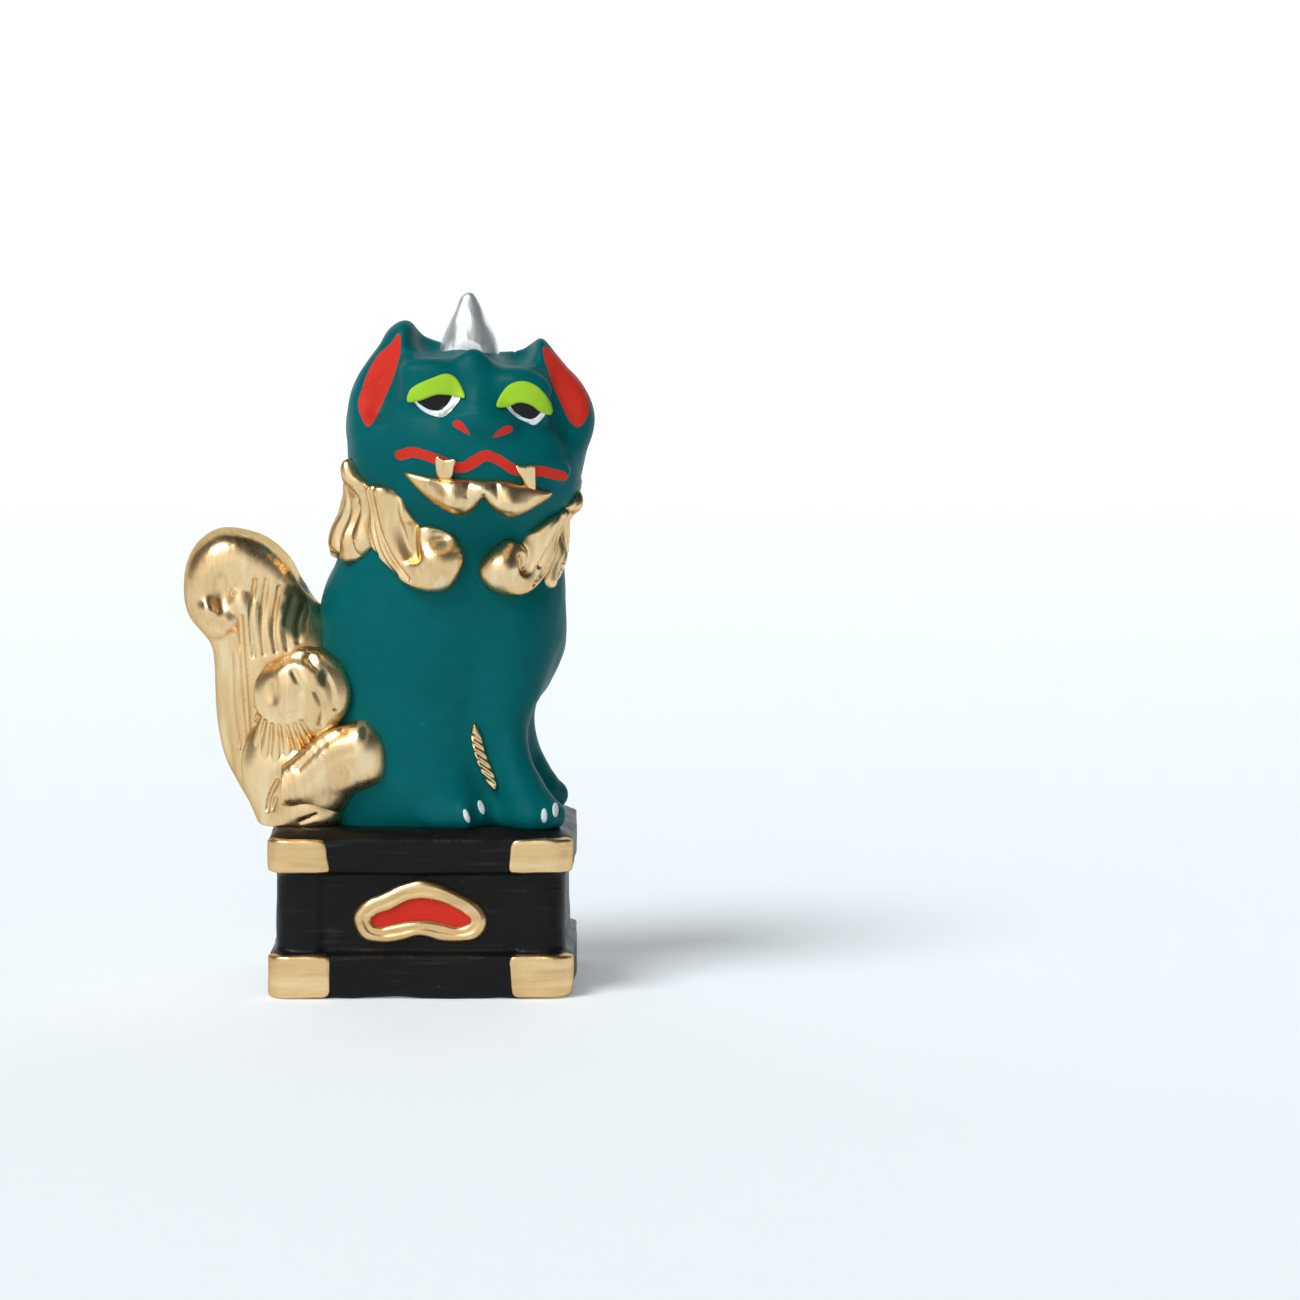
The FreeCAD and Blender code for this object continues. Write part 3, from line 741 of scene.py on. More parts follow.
class Bench:
    """Skins fields as meshes and enters each as a piece of the figure."""

    def __init__(self) -> None:
        """Reads which finish slot the record gives each node."""
        record = frame["record"]
        self.slots = {part["node"]: part["material_slot"] for part in record["subparts"]}

    def skin(self, name: str, at: Lattice, clay: Array) -> bpy.types.Object:
        """Turns a field into a closed mesh object.

        Args:
            name: The object's name.
            at: The lattice that the field is worked out over.
            clay: The field.

        Returns:
            The object, in metres.
        """
        block = at.full(clay).copy()
        for axis in range(3):
            for end in (0, -1):
                np.moveaxis(block, axis, 0)[end] = np.maximum(
                    np.moveaxis(block, axis, 0)[end], at.cell
                )
        grid = openvdb.FloatGrid(background=3.0)
        grid.copyFromArray(np.ascontiguousarray(block))
        corners, quads = grid.convertToQuads(0.0)
        mesh = bpy.data.meshes.new(name)
        mesh.vertices.add(len(corners))
        mesh.loops.add(4 * len(quads))
        mesh.polygons.add(len(quads))
        places = (at.low + corners * at.cell) * MM
        mesh.vertices.foreach_set("co", places.astype(np.float32).ravel())
        mesh.polygons.foreach_set("loop_start", np.arange(len(quads), dtype=np.int32) * 4)
        mesh.loops.foreach_set("vertex_index", quads.astype(np.int32)[:, ::-1].ravel())
        mesh.update(calc_edges=True)
        mesh.validate()
        mesh.shade_smooth()
        piece = bpy.data.objects.new(name, mesh)
        bpy.context.scene.collection.objects.link(piece)
        return piece

    def enter(self, piece: bpy.types.Object, node: str, finish: Finish) -> None:
        """Puts a finished piece in the figure, in place of its CAD node."""
        finish.dress(piece)
        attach(piece, "root")
        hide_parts(node)
        log.info("%s: %d faces", piece.name, len(piece.data.polygons))

    @staticmethod
    def mark(piece: bpy.types.Object, name: str, distance: Callable[[Array], Array]) -> None:
        """Keeps a painted mark on a piece.

        Args:
            piece: The piece.
            name: The mark's name, which its finish reads.
            distance: Gives the distance to the mark's outline, in millimetres, at points.
        """
        places = np.empty(len(piece.data.vertices) * 3, np.float32)
        piece.data.vertices.foreach_get("co", places)
        values = distance(places.reshape(-1, 3) / MM)
        piece.data.attributes.new(name, "FLOAT", "POINT").data.foreach_set(
            "value", values.astype(np.float32)
        )


@dataclass
class Plinth:
    """The black plinth with its gilt corner mounts and its cartouche.

    Attributes:
        bench: Where the pieces are skinned.
        draft: How far each end draws in towards the front and the back.
        relief: How far the rails stand out from the waist.
        lower_rail: The height of the lower rail's upper edge.
        upper_rail: The height of the upper rail's lower edge.
        shoulder: The height that the top slopes in from.
        post: The width of a corner post of the waist.
        recess: How deep the panels lie between the posts.
        corner: The rounding of the upright corners.
        mount_thick: How far the mounts stand proud.
        mount_long: How far they reach along the front and the back.
        mount_wrap: How far they reach round the ends.
        vent: The radius of the hole in the underside.
        floor_thick: The clay left above and below the chamber.
        wall: The clay left round the chamber.
    """

    bench: Bench
    draft: float = 0.25
    relief: float = 0.9
    lower_rail: float = 5.5
    upper_rail: float = 15.1
    shoulder: float = 19.2
    post: float = 5.6
    recess: float = 0.45
    corner: float = 1.6
    mount_thick: float = 0.28
    mount_long: float = 7.7
    mount_wrap: float = 1.9
    vent: float = 5.0
    floor_thick: float = 3.0
    wall: float = 4.5

    def __post_init__(self) -> None:
        """Takes the plinth's size from its node."""
        low, high = (np.array(corner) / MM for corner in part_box("plinth"))
        self.low, self.high = low, high
        self.half_wide, self.half_deep = (high - low)[:2] / 2 + (-0.5, 0.1)

    def clay(self, at: Lattice) -> Array:
        """The solid plinth's field."""
        z = at.z - self.low[2]
        edge = (0.5, 0.35)
        waist = self.relief * _step(z, self.lower_rail, *edge) * _step(-z, -self.upper_rail, *edge)
        slope = np.clip((z - self.shoulder) / (self.high[2] - self.low[2] - self.shoulder), 0, 1)
        inset = waist + slope * 1.5
        x, y = np.abs(at.x), np.abs(at.y)
        posts = self.half_wide - self.relief - self.post
        panel = _step(-x, -posts, 0.5, 0.5) * _step(z, self.lower_rail, *edge)
        panel = panel * _step(-z, -self.upper_rail, *edge) * self.recess
        side = x + self.draft * y / self.half_deep - self.half_wide + inset
        front = y - self.half_deep + inset + panel
        outline = press(side, front, 2 * self.corner)
        level = np.abs(z - self.high[2] / 2) - self.high[2] / 2
        solid = press(outline, level, 0.9)
        return solid + touch(at, 0.16, 11.0, 2.0) + touch(at, 0.07, 4.0, 5.0)

    def build(self) -> None:
        """Makes the plinth and its mounts."""
        margin = 1.0
        low = self.low - margin
        high = self.high + margin
        at = Lattice(low, high, Grain.BULK)
        clay = self.clay(at)
        around = np.sqrt(at.x**2 + at.y**2) - self.vent
        shaft = np.maximum(around, at.z - self.high[2] + 1.0)
        chamber = np.maximum(
            np.abs(at.x) - self.half_wide + self.wall, np.abs(at.y) - self.half_deep + self.wall
        )
        half_high = self.high[2] / 2
        chamber = np.maximum(chamber, np.abs(at.z - half_high) - half_high + self.floor_thick)
        clay = press(clay, -shaft, 0.4)
        clay = np.maximum(clay, -chamber)
        self.bench.enter(self.bench.skin("plinth", at, clay), "plinth", Finish.BLACK)
        self.mounts("lower_corner_mounts", 0.1, self.lower_rail - 0.1)
        self.mounts("upper_corner_mounts", self.upper_rail + 0.05, self.shoulder + 0.25)
        self.cartouche()

    def mounts(self, node: str, base: float, crown: float) -> None:
        """The four gilt mounts of one rail.

        Args:
            node: Their node's name.
            base: Their lower edge's height.
            crown: Their upper edge's height.
        """
        centre, half = (base + crown) / 2, (crown - base) / 2
        low, high = self.low - 1.0, self.high + 1.0
        low[2], high[2] = base - 1.0, crown + 1.0
        at = Lattice(low, high, Grain.MIDDLE)
        clay = self.clay(at)
        uneven = touch(at, 0.5, 7.0, base)
        long = self.half_wide - self.mount_long - np.abs(at.x)
        wrap = self.half_deep - self.mount_wrap - np.abs(at.y)
        tall = np.abs(at.z - centre) - half
        plate = press(press(long + uneven, tall + 0.35 * uneven, 1.0), wrap, 0.4)
        skin = press(plate, clay - self.mount_thick, 0.35)
        clay = np.maximum(skin, -clay - 0.5)
        piece = self.bench.skin(node, at, clay)
        self.bench.enter(piece, node, Finish.GILT_FLAT)

    def cartouche(self) -> None:
        """The gilt cartouche on the waist and its red field."""
        mid = middle("cartouche_frame")
        right = ((0.4, 4.0), (2.9, 3.3), (5.8, 1.9), (7.8, 0.3), (8.1, -1.5), (6.8, -3.3), (4.6, -4.0),
                 (2.2, -3.6))
        left = ((0.0, -3.0), (-2.2, -3.5), (-4.5, -4.0), (-6.8, -3.4), (-8.0, -1.6), (-7.9, 0.2),
                (-6.2, 1.6), (-4.2, 2.4), (-2.0, 3.6))
        edge = Stencil(right + left)
        low = (mid[0] - 10, self.low[1] - 1.5, mid[2] - 6)
        high = (mid[0] + 10, self.low[1] + 3.5, mid[2] + 6)
        at = Lattice(low, high, Grain.FINE)
        clay = self.clay(at)
        inside = edge(at.x - mid[0], at.z - mid[2]) + touch(at, 0.25, 5.0, 1.0)
        roll = np.sqrt((inside + 1.15) ** 2 + (clay * 1.15) ** 2 + 1e-6) - 1.1
        dip = 0.28 * np.exp(-(((inside + 1.3) / 0.3) ** 2))
        self.bench.enter(
            self.bench.skin("cartouche_frame", at, np.maximum(roll + dip, -clay - 0.7)),
            "cartouche_frame", Finish.GILT_FLAT,
        )
        plate = press(inside + 1.9, clay - 0.3, 0.3)
        self.bench.enter(
            self.bench.skin("cartouche_field", at, np.maximum(plate, -clay - 0.5)),
            "cartouche_field", Finish.FIELD,
        )


def _step(value: Array, edge: float, before: float, after: float) -> Array:
    """Rises softly from 0 to 1 as value passes edge, over a length before and a length after it."""
    share = np.clip((value - edge + before) / (before + after), 0, 1)
    return share * share * (3 - 2 * share)


@dataclass
class Body:
    """The teal clay: torso, haunches, legs, paws, head and ears, as one modelled surface.

    Each part is skinned on its own. Where two parts meet, both follow the one smooth surface as
    far as the line between them, and past that line each dives under the other.

    Attributes:
        bench: Where the pieces are skinned.
        stance: How far forward of the right foreleg the left one stands.
        droop: How far the face falls for each millimetre towards the dog's left.
        ear_round: How far in from its rim the plate of the ears is rounded.
        ear_thick: Half that plate's thickness.
    """

    bench: Bench
    stance: float = 0.5
    droop: float = 0.115
    ear_round: float = 2.8
    ear_thick: float = 3.5

    def __post_init__(self) -> None:
        """Takes the places that the clay is built up from out of the frame."""
        self.foot = top("plinth")
        self.head = middle("head") * (1, 0, 1) + (0.15, 0.0, 0.5)
        self.neck = (self.head[0] - 1.9, -0.8)

    def face_sheet(self, at: Lattice) -> tuple[Array, Array]:
        """Sheet coordinates on the face: across to the dog's left, and up, both from its middle."""
        across = at.x - self.head[0]
        return across, at.z - self.head[2] + self.droop * across

    def torso(self, at: Lattice) -> Array:
        """The seated torso with its chest and neck."""
        f = self.foot
        return loft(at, (
            (f - 2.0, -1.6, 0.0, 13.6, 8.8),
            (f + 2.0, -1.5, 0.0, 14.0, 9.1),
            (f + 7.0, -1.4, 0.0, 14.0, 9.4),
            (f + 12.5, -0.9, 0.0, 13.6, 9.5),
            (f + 16.5, 1.0, 0.0, 14.4, 9.9),
            (f + 21.5, 2.3, -0.1, 15.1, 10.3),
            (f + 27.0, 2.5, -0.3, 14.8, 10.3),
            (f + 32.0, 3.3, -0.6, 13.6, 10.0),
            (f + 37.0, 3.9, -0.9, 12.7, 9.7),
            (f + 42.0, 4.6, -1.4, 12.0, 9.0),
            (f + 46.0, 5.2, -1.8, 9.0, 7.0),
        ), 2.25)

    def haunch(self, at: Lattice) -> Array:
        """A haunch folded against the flank."""
        thigh = ball(at, (-1.6, -4.0, self.foot + 8.0), (8.8, 5.6, 8.2))
        return melt(thigh, ball(at, (1.2, -6.4, self.foot + 3.4), (5.4, 3.6, 3.6)), 3.0)

    def hind_paw(self, at: Lattice) -> Array:
        """A hind paw, with its toes marked."""
        f = self.foot
        paw = ball(at, (4.4, -8.4, f + 1.4), (4.6, 3.0, 2.4))
        for x, y in ((5.6, -10.2), (7.5, -9.6)):
            paw = melt(paw, ball(at, (x, y, f + 1.4), (1.3, 1.6, 1.6)), 0.7)
        return paw

    def foreleg(self, at: Lattice, shift: float) -> Array:
        """A foreleg from the shoulder to its paw.

        Args:
            at: Where the field is wanted.
            shift: How far forward the leg stands at its middle.

        Returns:
            The field.
        """
        f = self.foot
        leg = strand(at, (
            (10.9 + 0.4 * shift, -4.6, f + 25.0, 4.2),
            (10.6 + 0.8 * shift, -5.6, f + 18.0, 3.8),
            (9.7 + shift, -6.4, f + 12.0, 3.0),
            (10.6 + 0.9 * shift, -7.2, f + 7.0, 2.9),
            (12.6 + 0.4 * shift, -7.9, f + 2.6, 3.1),
        ))
        leg = melt(leg, ball(at, (13.4, -8.3, f + 1.4), (3.6, 3.0, 2.3)), 1.5)
        for x, y in ((13.4, -10.2), (15.2, -9.8), (16.3, -8.4)):
            leg = melt(leg, ball(at, (x, y, f + 1.3), (1.2, 1.4, 1.5)), 0.7)
        return leg

    def skull(self, at: Lattice) -> Array:
        """The head, with the plate of clay that its ears are drawn up from."""
        u, w = self.face_sheet(at)
        local = at.changed(x=u, z=w)
        head = loft(local, (
            (-13.0, -0.6, -3.2, 7.5, 6.4),
            (-9.5, -0.9, -3.2, 11.4, 9.4),
            (-6.0, -0.9, -3.1, 13.0, 10.6),
            (-2.0, -0.7, -2.9, 13.5, 11.1),
            (1.5, -0.2, -2.7, 12.9, 10.8),
            (5.0, 0.0, -2.5, 11.4, 9.8),
            (7.6, 0.2, -2.2, 9.0, 8.2),
            (9.4, 0.4, -2.0, 5.8, 5.4),
        ), 2.3)
        rim = np.maximum(Stencil(HEAD_OUTLINE)(u, w) + self.ear_round, 0)
        plate = np.sqrt(rim**2 + ((at.y + 4.6) * self.ear_round / self.ear_thick) ** 2) - self.ear_round
        head = melt(head, plate, 4.2)
        lumps = (
            ((-4.2, -10.6, 6.2), (4.4, 2.8, 2.2), 2.2),
            ((6.3, -10.6, 6.2), (4.4, 2.8, 2.2), 2.2),
            ((-9.3, -7.6, -3.0), (4.0, 4.0, 5.2), 2.5),
            ((8.7, -7.8, -2.4), (3.5, 4.0, 5.0), 2.5),
            ((1.4, -11.0, -2.0), (8.8, 4.2, 3.4), 2.4),
            ((1.4, -10.4, -5.4), (8.0, 4.0, 3.4), 2.2),
            ((-4.1, -11.3, 4.0), (3.5, 2.1, 2.6), 1.2),
            ((6.2, -11.3, 4.0), (3.5, 2.1, 2.6), 1.2),
            ((-1.0, -13.2, 1.2), (1.9, 1.9, 1.7), 1.2),
            ((3.9, -13.2, 1.2), (1.9, 1.9, 1.7), 1.2),
        )
        for centre, radii, reach in lumps:
            head = melt(head, ball(local, centre, radii), reach)
        bridge = strand(local, ((0.7, -10.4, 8.0, 1.8), (1.2, -11.9, 4.4, 1.7), (1.5, -13.2, 1.6, 2.3)))
        head = melt(head, bridge, 2.0)
        path = tuple((s, -13.9 + 0.024 * (s - 1.4) ** 2, t + 0.5, 0.8) for s, t in LIP_LINE)
        lip = strand(local, path)
        head = melt(head, lip, 1.3)
        for across in (-4.6, 5.6):
            head = press(head, -ball(local, (across, -6.6, 10.4), (1.8, 3.4, 2.0)), 2.4)
        for across in (-10.9, 11.9):
            head = press(head, -ball(local, (across, -10.0, 5.6), (2.1, 1.6, 5.0)), 2.4)
        return head

    def ear_zone(self, at: Lattice, side: int) -> Array:
        """The part of the head that is an ear: -1 for the dog's right, 1 for its left."""
        u, w = self.face_sheet(at)
        return 0.64 * (15.5 - side * u) - 0.76 * (w - 1.0)

    def parts(self, at: Lattice) -> dict[str, Array]:
        """Every part's own lump, by node."""
        folded = at.folded()
        near, far = at.y > 0, at.y <= 0
        away = np.abs(at.y) * 2 + 1.0
        skull = self.skull(at)
        right_ear, left_ear = self.ear_zone(at, -1), self.ear_zone(at, 1)
        lumps = {
            "torso": self.torso(at),
            "head": np.maximum(skull, -np.minimum(right_ear, left_ear)),
            "right_ear": np.maximum(skull, right_ear),
            "left_ear": np.maximum(skull, left_ear),
        }
        for name, form in (("haunch", self.haunch), ("hind_paw", self.hind_paw)):
            lump = form(folded)
            lumps[f"right_{name}"] = np.where(near, lump + away, lump)
            lumps[f"left_{name}"] = np.where(far, lump + away, lump)
        for side, half, shift in (("right", near, 0.0), ("left", far, self.stance)):
            lump = self.foreleg(folded, shift)
            lumps[f"{side}_foreleg"] = np.where(half, lump + away, lump)
        return lumps

    def whole(self, at: Lattice, lumps: dict[str, Array]) -> Array:
        """All the lumps worked into one surface."""
        reach = {"haunch": 3.5, "hind_paw": 1.6, "foreleg": 2.6}
        head = np.minimum(np.minimum(lumps["right_ear"], lumps["left_ear"]), lumps["head"])
        clay = melt(lumps["torso"], head, 2.0)
        for name, lump in lumps.items():
            limb = name.split("_", 1)[-1]
            if limb in reach:
                clay = melt(clay, lump, reach[limb])
        tuck = ball(at.folded(), (8.4, -11.0, self.foot + 5.0), (1.6, 1.8, 6.0))
        clay = press(clay, -tuck, 2.4)
        return clay + touch(at, 0.14, 9.0, 1.0) + touch(at, 0.05, 3.6, 4.0)

    def surface(self, at: Lattice) -> Array:
        """The worked surface, for reliefs that are luted on to it."""
        return self.whole(at, self.parts(at))

    def build(self, plinth: Plinth) -> None:
        """Skins each part."""
        finishes = {"head": Finish.HEAD, "right_ear": Finish.EAR, "left_ear": Finish.EAR}
        for node in BODY_NODES:
            low, high = (np.array(corner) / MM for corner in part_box(node))
            at = Lattice(low - 4.0, high + 4.0, BODY_GRAIN.get(node, Grain.MIDDLE))
            lumps = self.parts(at)
            others = np.minimum.reduce([lump for name, lump in lumps.items() if name != node])
            away = np.maximum((lumps[node] - others) / 2, 0)
            clay = self.whole(at, lumps) + 0.08 * away + 0.35 * away**2
            clay = np.maximum(clay, -plinth.clay(at) - 0.6)
            piece = self.bench.skin(node, at, clay)
            self.paint(piece, node)
            self.bench.enter(piece, node, finishes.get(node, Finish.BODY))

    def paint(self, piece: bpy.types.Object, node: str) -> None:
        """Keeps the red marks on the face and in the ears."""
        if node == "head":
            self.mark(piece, "lip", Stencil(LIP_LINE, closed=False), -8.0, 0.62)
            self.mark(
                piece, "nostrils", _either(*(Stencil(points) for points in NOSTRILS)), -10.0, 0.0
            )
        if node in ("head", "right_ear", "left_ear"):
            linings = [Stencil(points) for points in EAR_LININGS]
            self.mark(piece, "lining", _either(*linings), -4.4, 0.0)

    def mark(
        self, piece: bpy.types.Object, name: str, stencil: Callable[[Array, Array], Array],
        behind: float, width: float,
    ) -> None:
        """Keeps one mark, drawn on the face's sheet.

        Args:
            piece: The piece that it is painted on.
            name: The mark's name, which the finish reads.
            stencil: Gives the distance to its outline on the sheet.
            behind: The y that it stops at, so that it doesn't show through on the back.
            width: How far past the outline it is painted.
        """

        def distance(points: Array) -> Array:
            """The distance to the mark at points."""
            u = points[:, 0] - self.head[0]
            w = points[:, 2] - self.head[2] + self.droop * u
            return np.maximum(stencil(u, w) - width, points[:, 1] - behind)

        self.bench.mark(piece, name, distance)


def _either(one: Stencil, other: Stencil) -> Callable[[Array, Array], Array]:
    """The two stencils as one."""
    return lambda s, t: np.minimum(one(s, t), other(s, t))


BODY_NODES = (
    "torso", "head", "right_ear", "left_ear", "right_haunch", "left_haunch", "right_foreleg",
    "left_foreleg", "right_hind_paw", "left_hind_paw",
)
BODY_GRAIN = {"torso": Grain.LARGE, "head": Grain.BROAD}

# Painted marks on the face's sheet: across to the dog's left and up, from the head's middle.
LIP_LINE: tuple[Point, ...] = (
    (-8.1, -3.6), (-6.3, -3.0), (-3.5, -3.5), (-1.0, -4.1), (0.6, -3.3), (2.1, -2.3),
    (3.7, -2.7), (5.7, -3.7), (8.1, -3.5), (11.1, -3.9),
)
NOSTRILS: tuple[tuple[Point, ...], ...] = (
    ((-1.6, 1.3), (-0.9, 1.5), (-0.2, 0.8), (0.3, -0.1), (-0.8, 0.3), (-1.7, 0.8)),
    ((5.2, 1.4), (4.6, 1.5), (3.7, 0.9), (3.0, -0.1), (4.4, 0.4), (5.2, 0.9)),
)
EAR_LININGS: tuple[tuple[Point, ...], ...] = (
    ((-8.4, 10.5), (-8.4, 7.5), (-10.5, 1.8), (-12.0, -0.8), (-13.3, 1.1), (-13.0, 3.2),
     (-11.6, 6.8), (-9.6, 9.1)),
    ((8.7, 10.8), (10.1, 10.2), (12.2, 8.5), (13.8, 6.1), (14.2, 3.9), (13.5, 2.3), (12.5, 1.9),
     (11.4, 3.4), (9.5, 7.7)),
)
HEAD_OUTLINE: tuple[Point, ...] = (
    (-12.2, -6.5), (-13.5, -3.0), (-13.9, 0.4), (-13.5, 3.8), (-12.4, 6.3), (-11.0, 8.8),
    (-9.7, 10.9), (-8.2, 11.9), (-6.8, 11.6), (-5.2, 9.6), (-3.4, 7.4), (0.4, 6.6), (4.4, 7.4),
    (6.0, 9.6), (7.0, 11.0), (8.3, 11.7), (9.4, 11.0), (11.2, 9.1), (13.4, 6.6), (14.6, 3.6),
    (13.9, 1.0), (12.6, -1.4), (11.5, -4.0), (10.6, -6.5), (0.0, -7.5),
)


@dataclass
class Face:
    """Horn, eyes, lids, fangs and beard."""

    bench: Bench
    body: Body
    lids: dict[str, tuple[Point, ...]] = field(default_factory=lambda: {
        "right": ((-7.2, 2.8), (-7.0, 4.1), (-6.1, 5.0), (-4.5, 5.9), (-2.7, 6.7), (-1.5, 6.4),
                  (-0.7, 5.3), (-0.4, 4.1), (-2.0, 4.2), (-3.7, 4.1), (-5.6, 3.2)),
        "left": ((3.4, 3.6), (3.8, 4.9), (4.9, 6.3), (6.5, 6.9), (8.1, 6.5), (9.4, 5.2),
                 (9.9, 3.3), (8.6, 3.4), (7.5, 4.1), (6.1, 4.3), (4.6, 3.6)),
    })
    eyes: dict[str, tuple[Point, ...]] = field(default_factory=lambda: {
        "right": ((-6.5, 3.3), (-5.6, 2.1), (-4.0, 1.5), (-2.6, 1.8), (-0.9, 3.9), (-1.3, 5.1),
                  (-3.7, 5.3), (-5.7, 4.5)),
        "left": ((4.3, 4.0), (5.6, 2.6), (6.9, 2.0), (7.9, 1.8), (9.0, 3.0), (9.3, 4.1),
                 (7.3, 5.3), (5.3, 5.1)),
    })
    irises: dict[str, tuple[Point, ...]] = field(default_factory=lambda: {
        "right": ((-6.1, 3.3), (-5.3, 2.5), (-4.2, 2.2), (-3.0, 2.5), (-1.9, 4.1), (-2.6, 5.2),
                  (-5.2, 5.0)),
        "left": ((5.0, 4.1), (5.5, 3.2), (6.5, 2.6), (7.6, 2.5), (8.6, 3.5), (8.5, 4.7), (5.9, 5.2)),
    })
    fangs: dict[str, tuple[Point, ...]] = field(default_factory=lambda: {
        "right": ((-3.8, -3.1), (-2.6, -3.3), (-1.4, -3.1), (-1.6, -4.3), (-1.9, -5.5), (-2.9, -5.9),
                  (-3.7, -5.3)),
        "left": ((5.6, -3.1), (6.8, -3.0), (7.9, -2.8), (8.0, -4.6), (7.9, -6.3), (7.1, -6.1),
                 (6.3, -4.5)),
    })

    # How far below the tip, and the horn's radius there.
    horn_profile: tuple[Point, ...] = (
        (-0.2, -0.3), (0.0, 0.1), (0.08, 0.42), (0.25, 0.72), (0.55, 0.98), (1.0, 1.18),
        (1.8, 1.5), (3.5, 2.3), (5.0, 2.95), (6.2, 3.4), (7.6, 3.7), (9.0, 3.8), (14.0, 3.8),
    )
    horn_shift: Point = (-1.1, -1.6)

    def around(self, points: Sequence[Point], grain: Grain) -> Lattice:
        """A lattice over the front of the face round some points of its sheet."""
        u, w = (np.array(values) for values in zip(*points))
        z = w - self.body.droop * u
        low = (self.body.head[0] + u.min() - 1.2, -17.5, self.body.head[2] + z.min() - 1.2)
        high = (self.body.head[0] + u.max() + 1.2, -7.0, self.body.head[2] + z.max() + 1.2)
        return Lattice(low, high, grain)

    def lay(self, name: str, relief: Relief, grain: Grain) -> bpy.types.Object:
        """Lutes a relief on to the face and skins it."""
        at = self.around(relief.outline, grain)
        clay = relief.over(self.body.surface(at), *self.body.face_sheet(at))
        return self.bench.skin(name, at, clay)

    def build(self) -> None:
        """Makes the pieces of the face."""
        for side in ("right", "left"):
            eye = self.lay(f"{side}_eye", Relief(self.eyes[side], 0.14, 0.12), Grain.DETAIL)
            iris = Stencil(self.irises[side], pitch=0.05)
            self.body.mark(eye, "iris", iris, 0.0, 0.0)
            self.bench.enter(eye, f"{side}_eye", Finish.EYE)
            lid = self.lay(f"{side}_eyelid", Relief(self.lids[side], 0.34, 0.3), Grain.DETAIL)
            self.bench.enter(lid, f"{side}_eyelid", Finish.LID)
            fang = self.lay(f"{side}_fang", Relief(self.fangs[side], 0.7, 0.4), Grain.DETAIL)
            self.bench.enter(fang, f"{side}_fang", Finish.GILT)
        self.beard()
        self.horn()

    def beard(self) -> None:
        """The gilt beard, two lobes that jut from under the lip."""
        outline = (
            (-7.7, -5.5), (-4.5, -5.6), (-1.5, -5.4), (1.8, -5.2), (4.6, -5.0), (8.2, -5.6),
            (10.0, -6.1), (8.8, -7.4), (6.4, -8.8), (4.5, -9.5), (2.9, -8.6), (1.8, -7.4),
            (0.8, -8.7), (-0.8, -9.9), (-3.6, -9.1), (-6.2, -7.4),
        )
        strokes = tuple(
            Groove(((s, -5.6), (s + lean, -7.2)), 0.3, 0.14) for s, lean in ((0.2, -0.3), (3.4, 0.3))
        )
        relief = Relief(
            outline, 0.7, 1.2,
            grooves=(Groove(((1.9, -7.2), (1.9, -8.4)), 0.5, 0.5), *strokes),
            swells=(
                Swell((-1.9, -8.4), 2.6, 2.2), Swell((5.3, -8.2), 2.6, 2.2),
                Swell((1.8, -7.0), 1.5, 0.9),
            ),
        )
        piece = self.lay("chin_beard", relief, Grain.FINE)
        self.bench.enter(piece, "chin_beard", Finish.GILT)

    def horn(self) -> None:
        """The silvered horn, drawn in above a wide foot, its tip rounded."""
        low, high = (np.array(corner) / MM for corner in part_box("horn"))
        cx, cy = (low + high)[:2] / 2 + self.horn_shift
        tip = high[2]
        at = Lattice(low - 2.0, high + (2.0, 2.0, 1.0), Grain.FINE)
        drops, radii = zip(*self.horn_profile)
        radius = np.interp(tip - at.z, drops, radii)
        around = np.hypot(at.x - cx, (at.y - cy) * 1.05)
        spike = (around - radius) * 0.93
        skull = self.body.surface(at)
        spike = np.maximum(spike + touch(at, 0.16, 3.4, 3.0), -skull - 0.8)
        spike = press(spike, skull - 12.0, 1.0)
        self.bench.enter(self.bench.skin("horn", at, spike), "horn", Finish.SILVER)


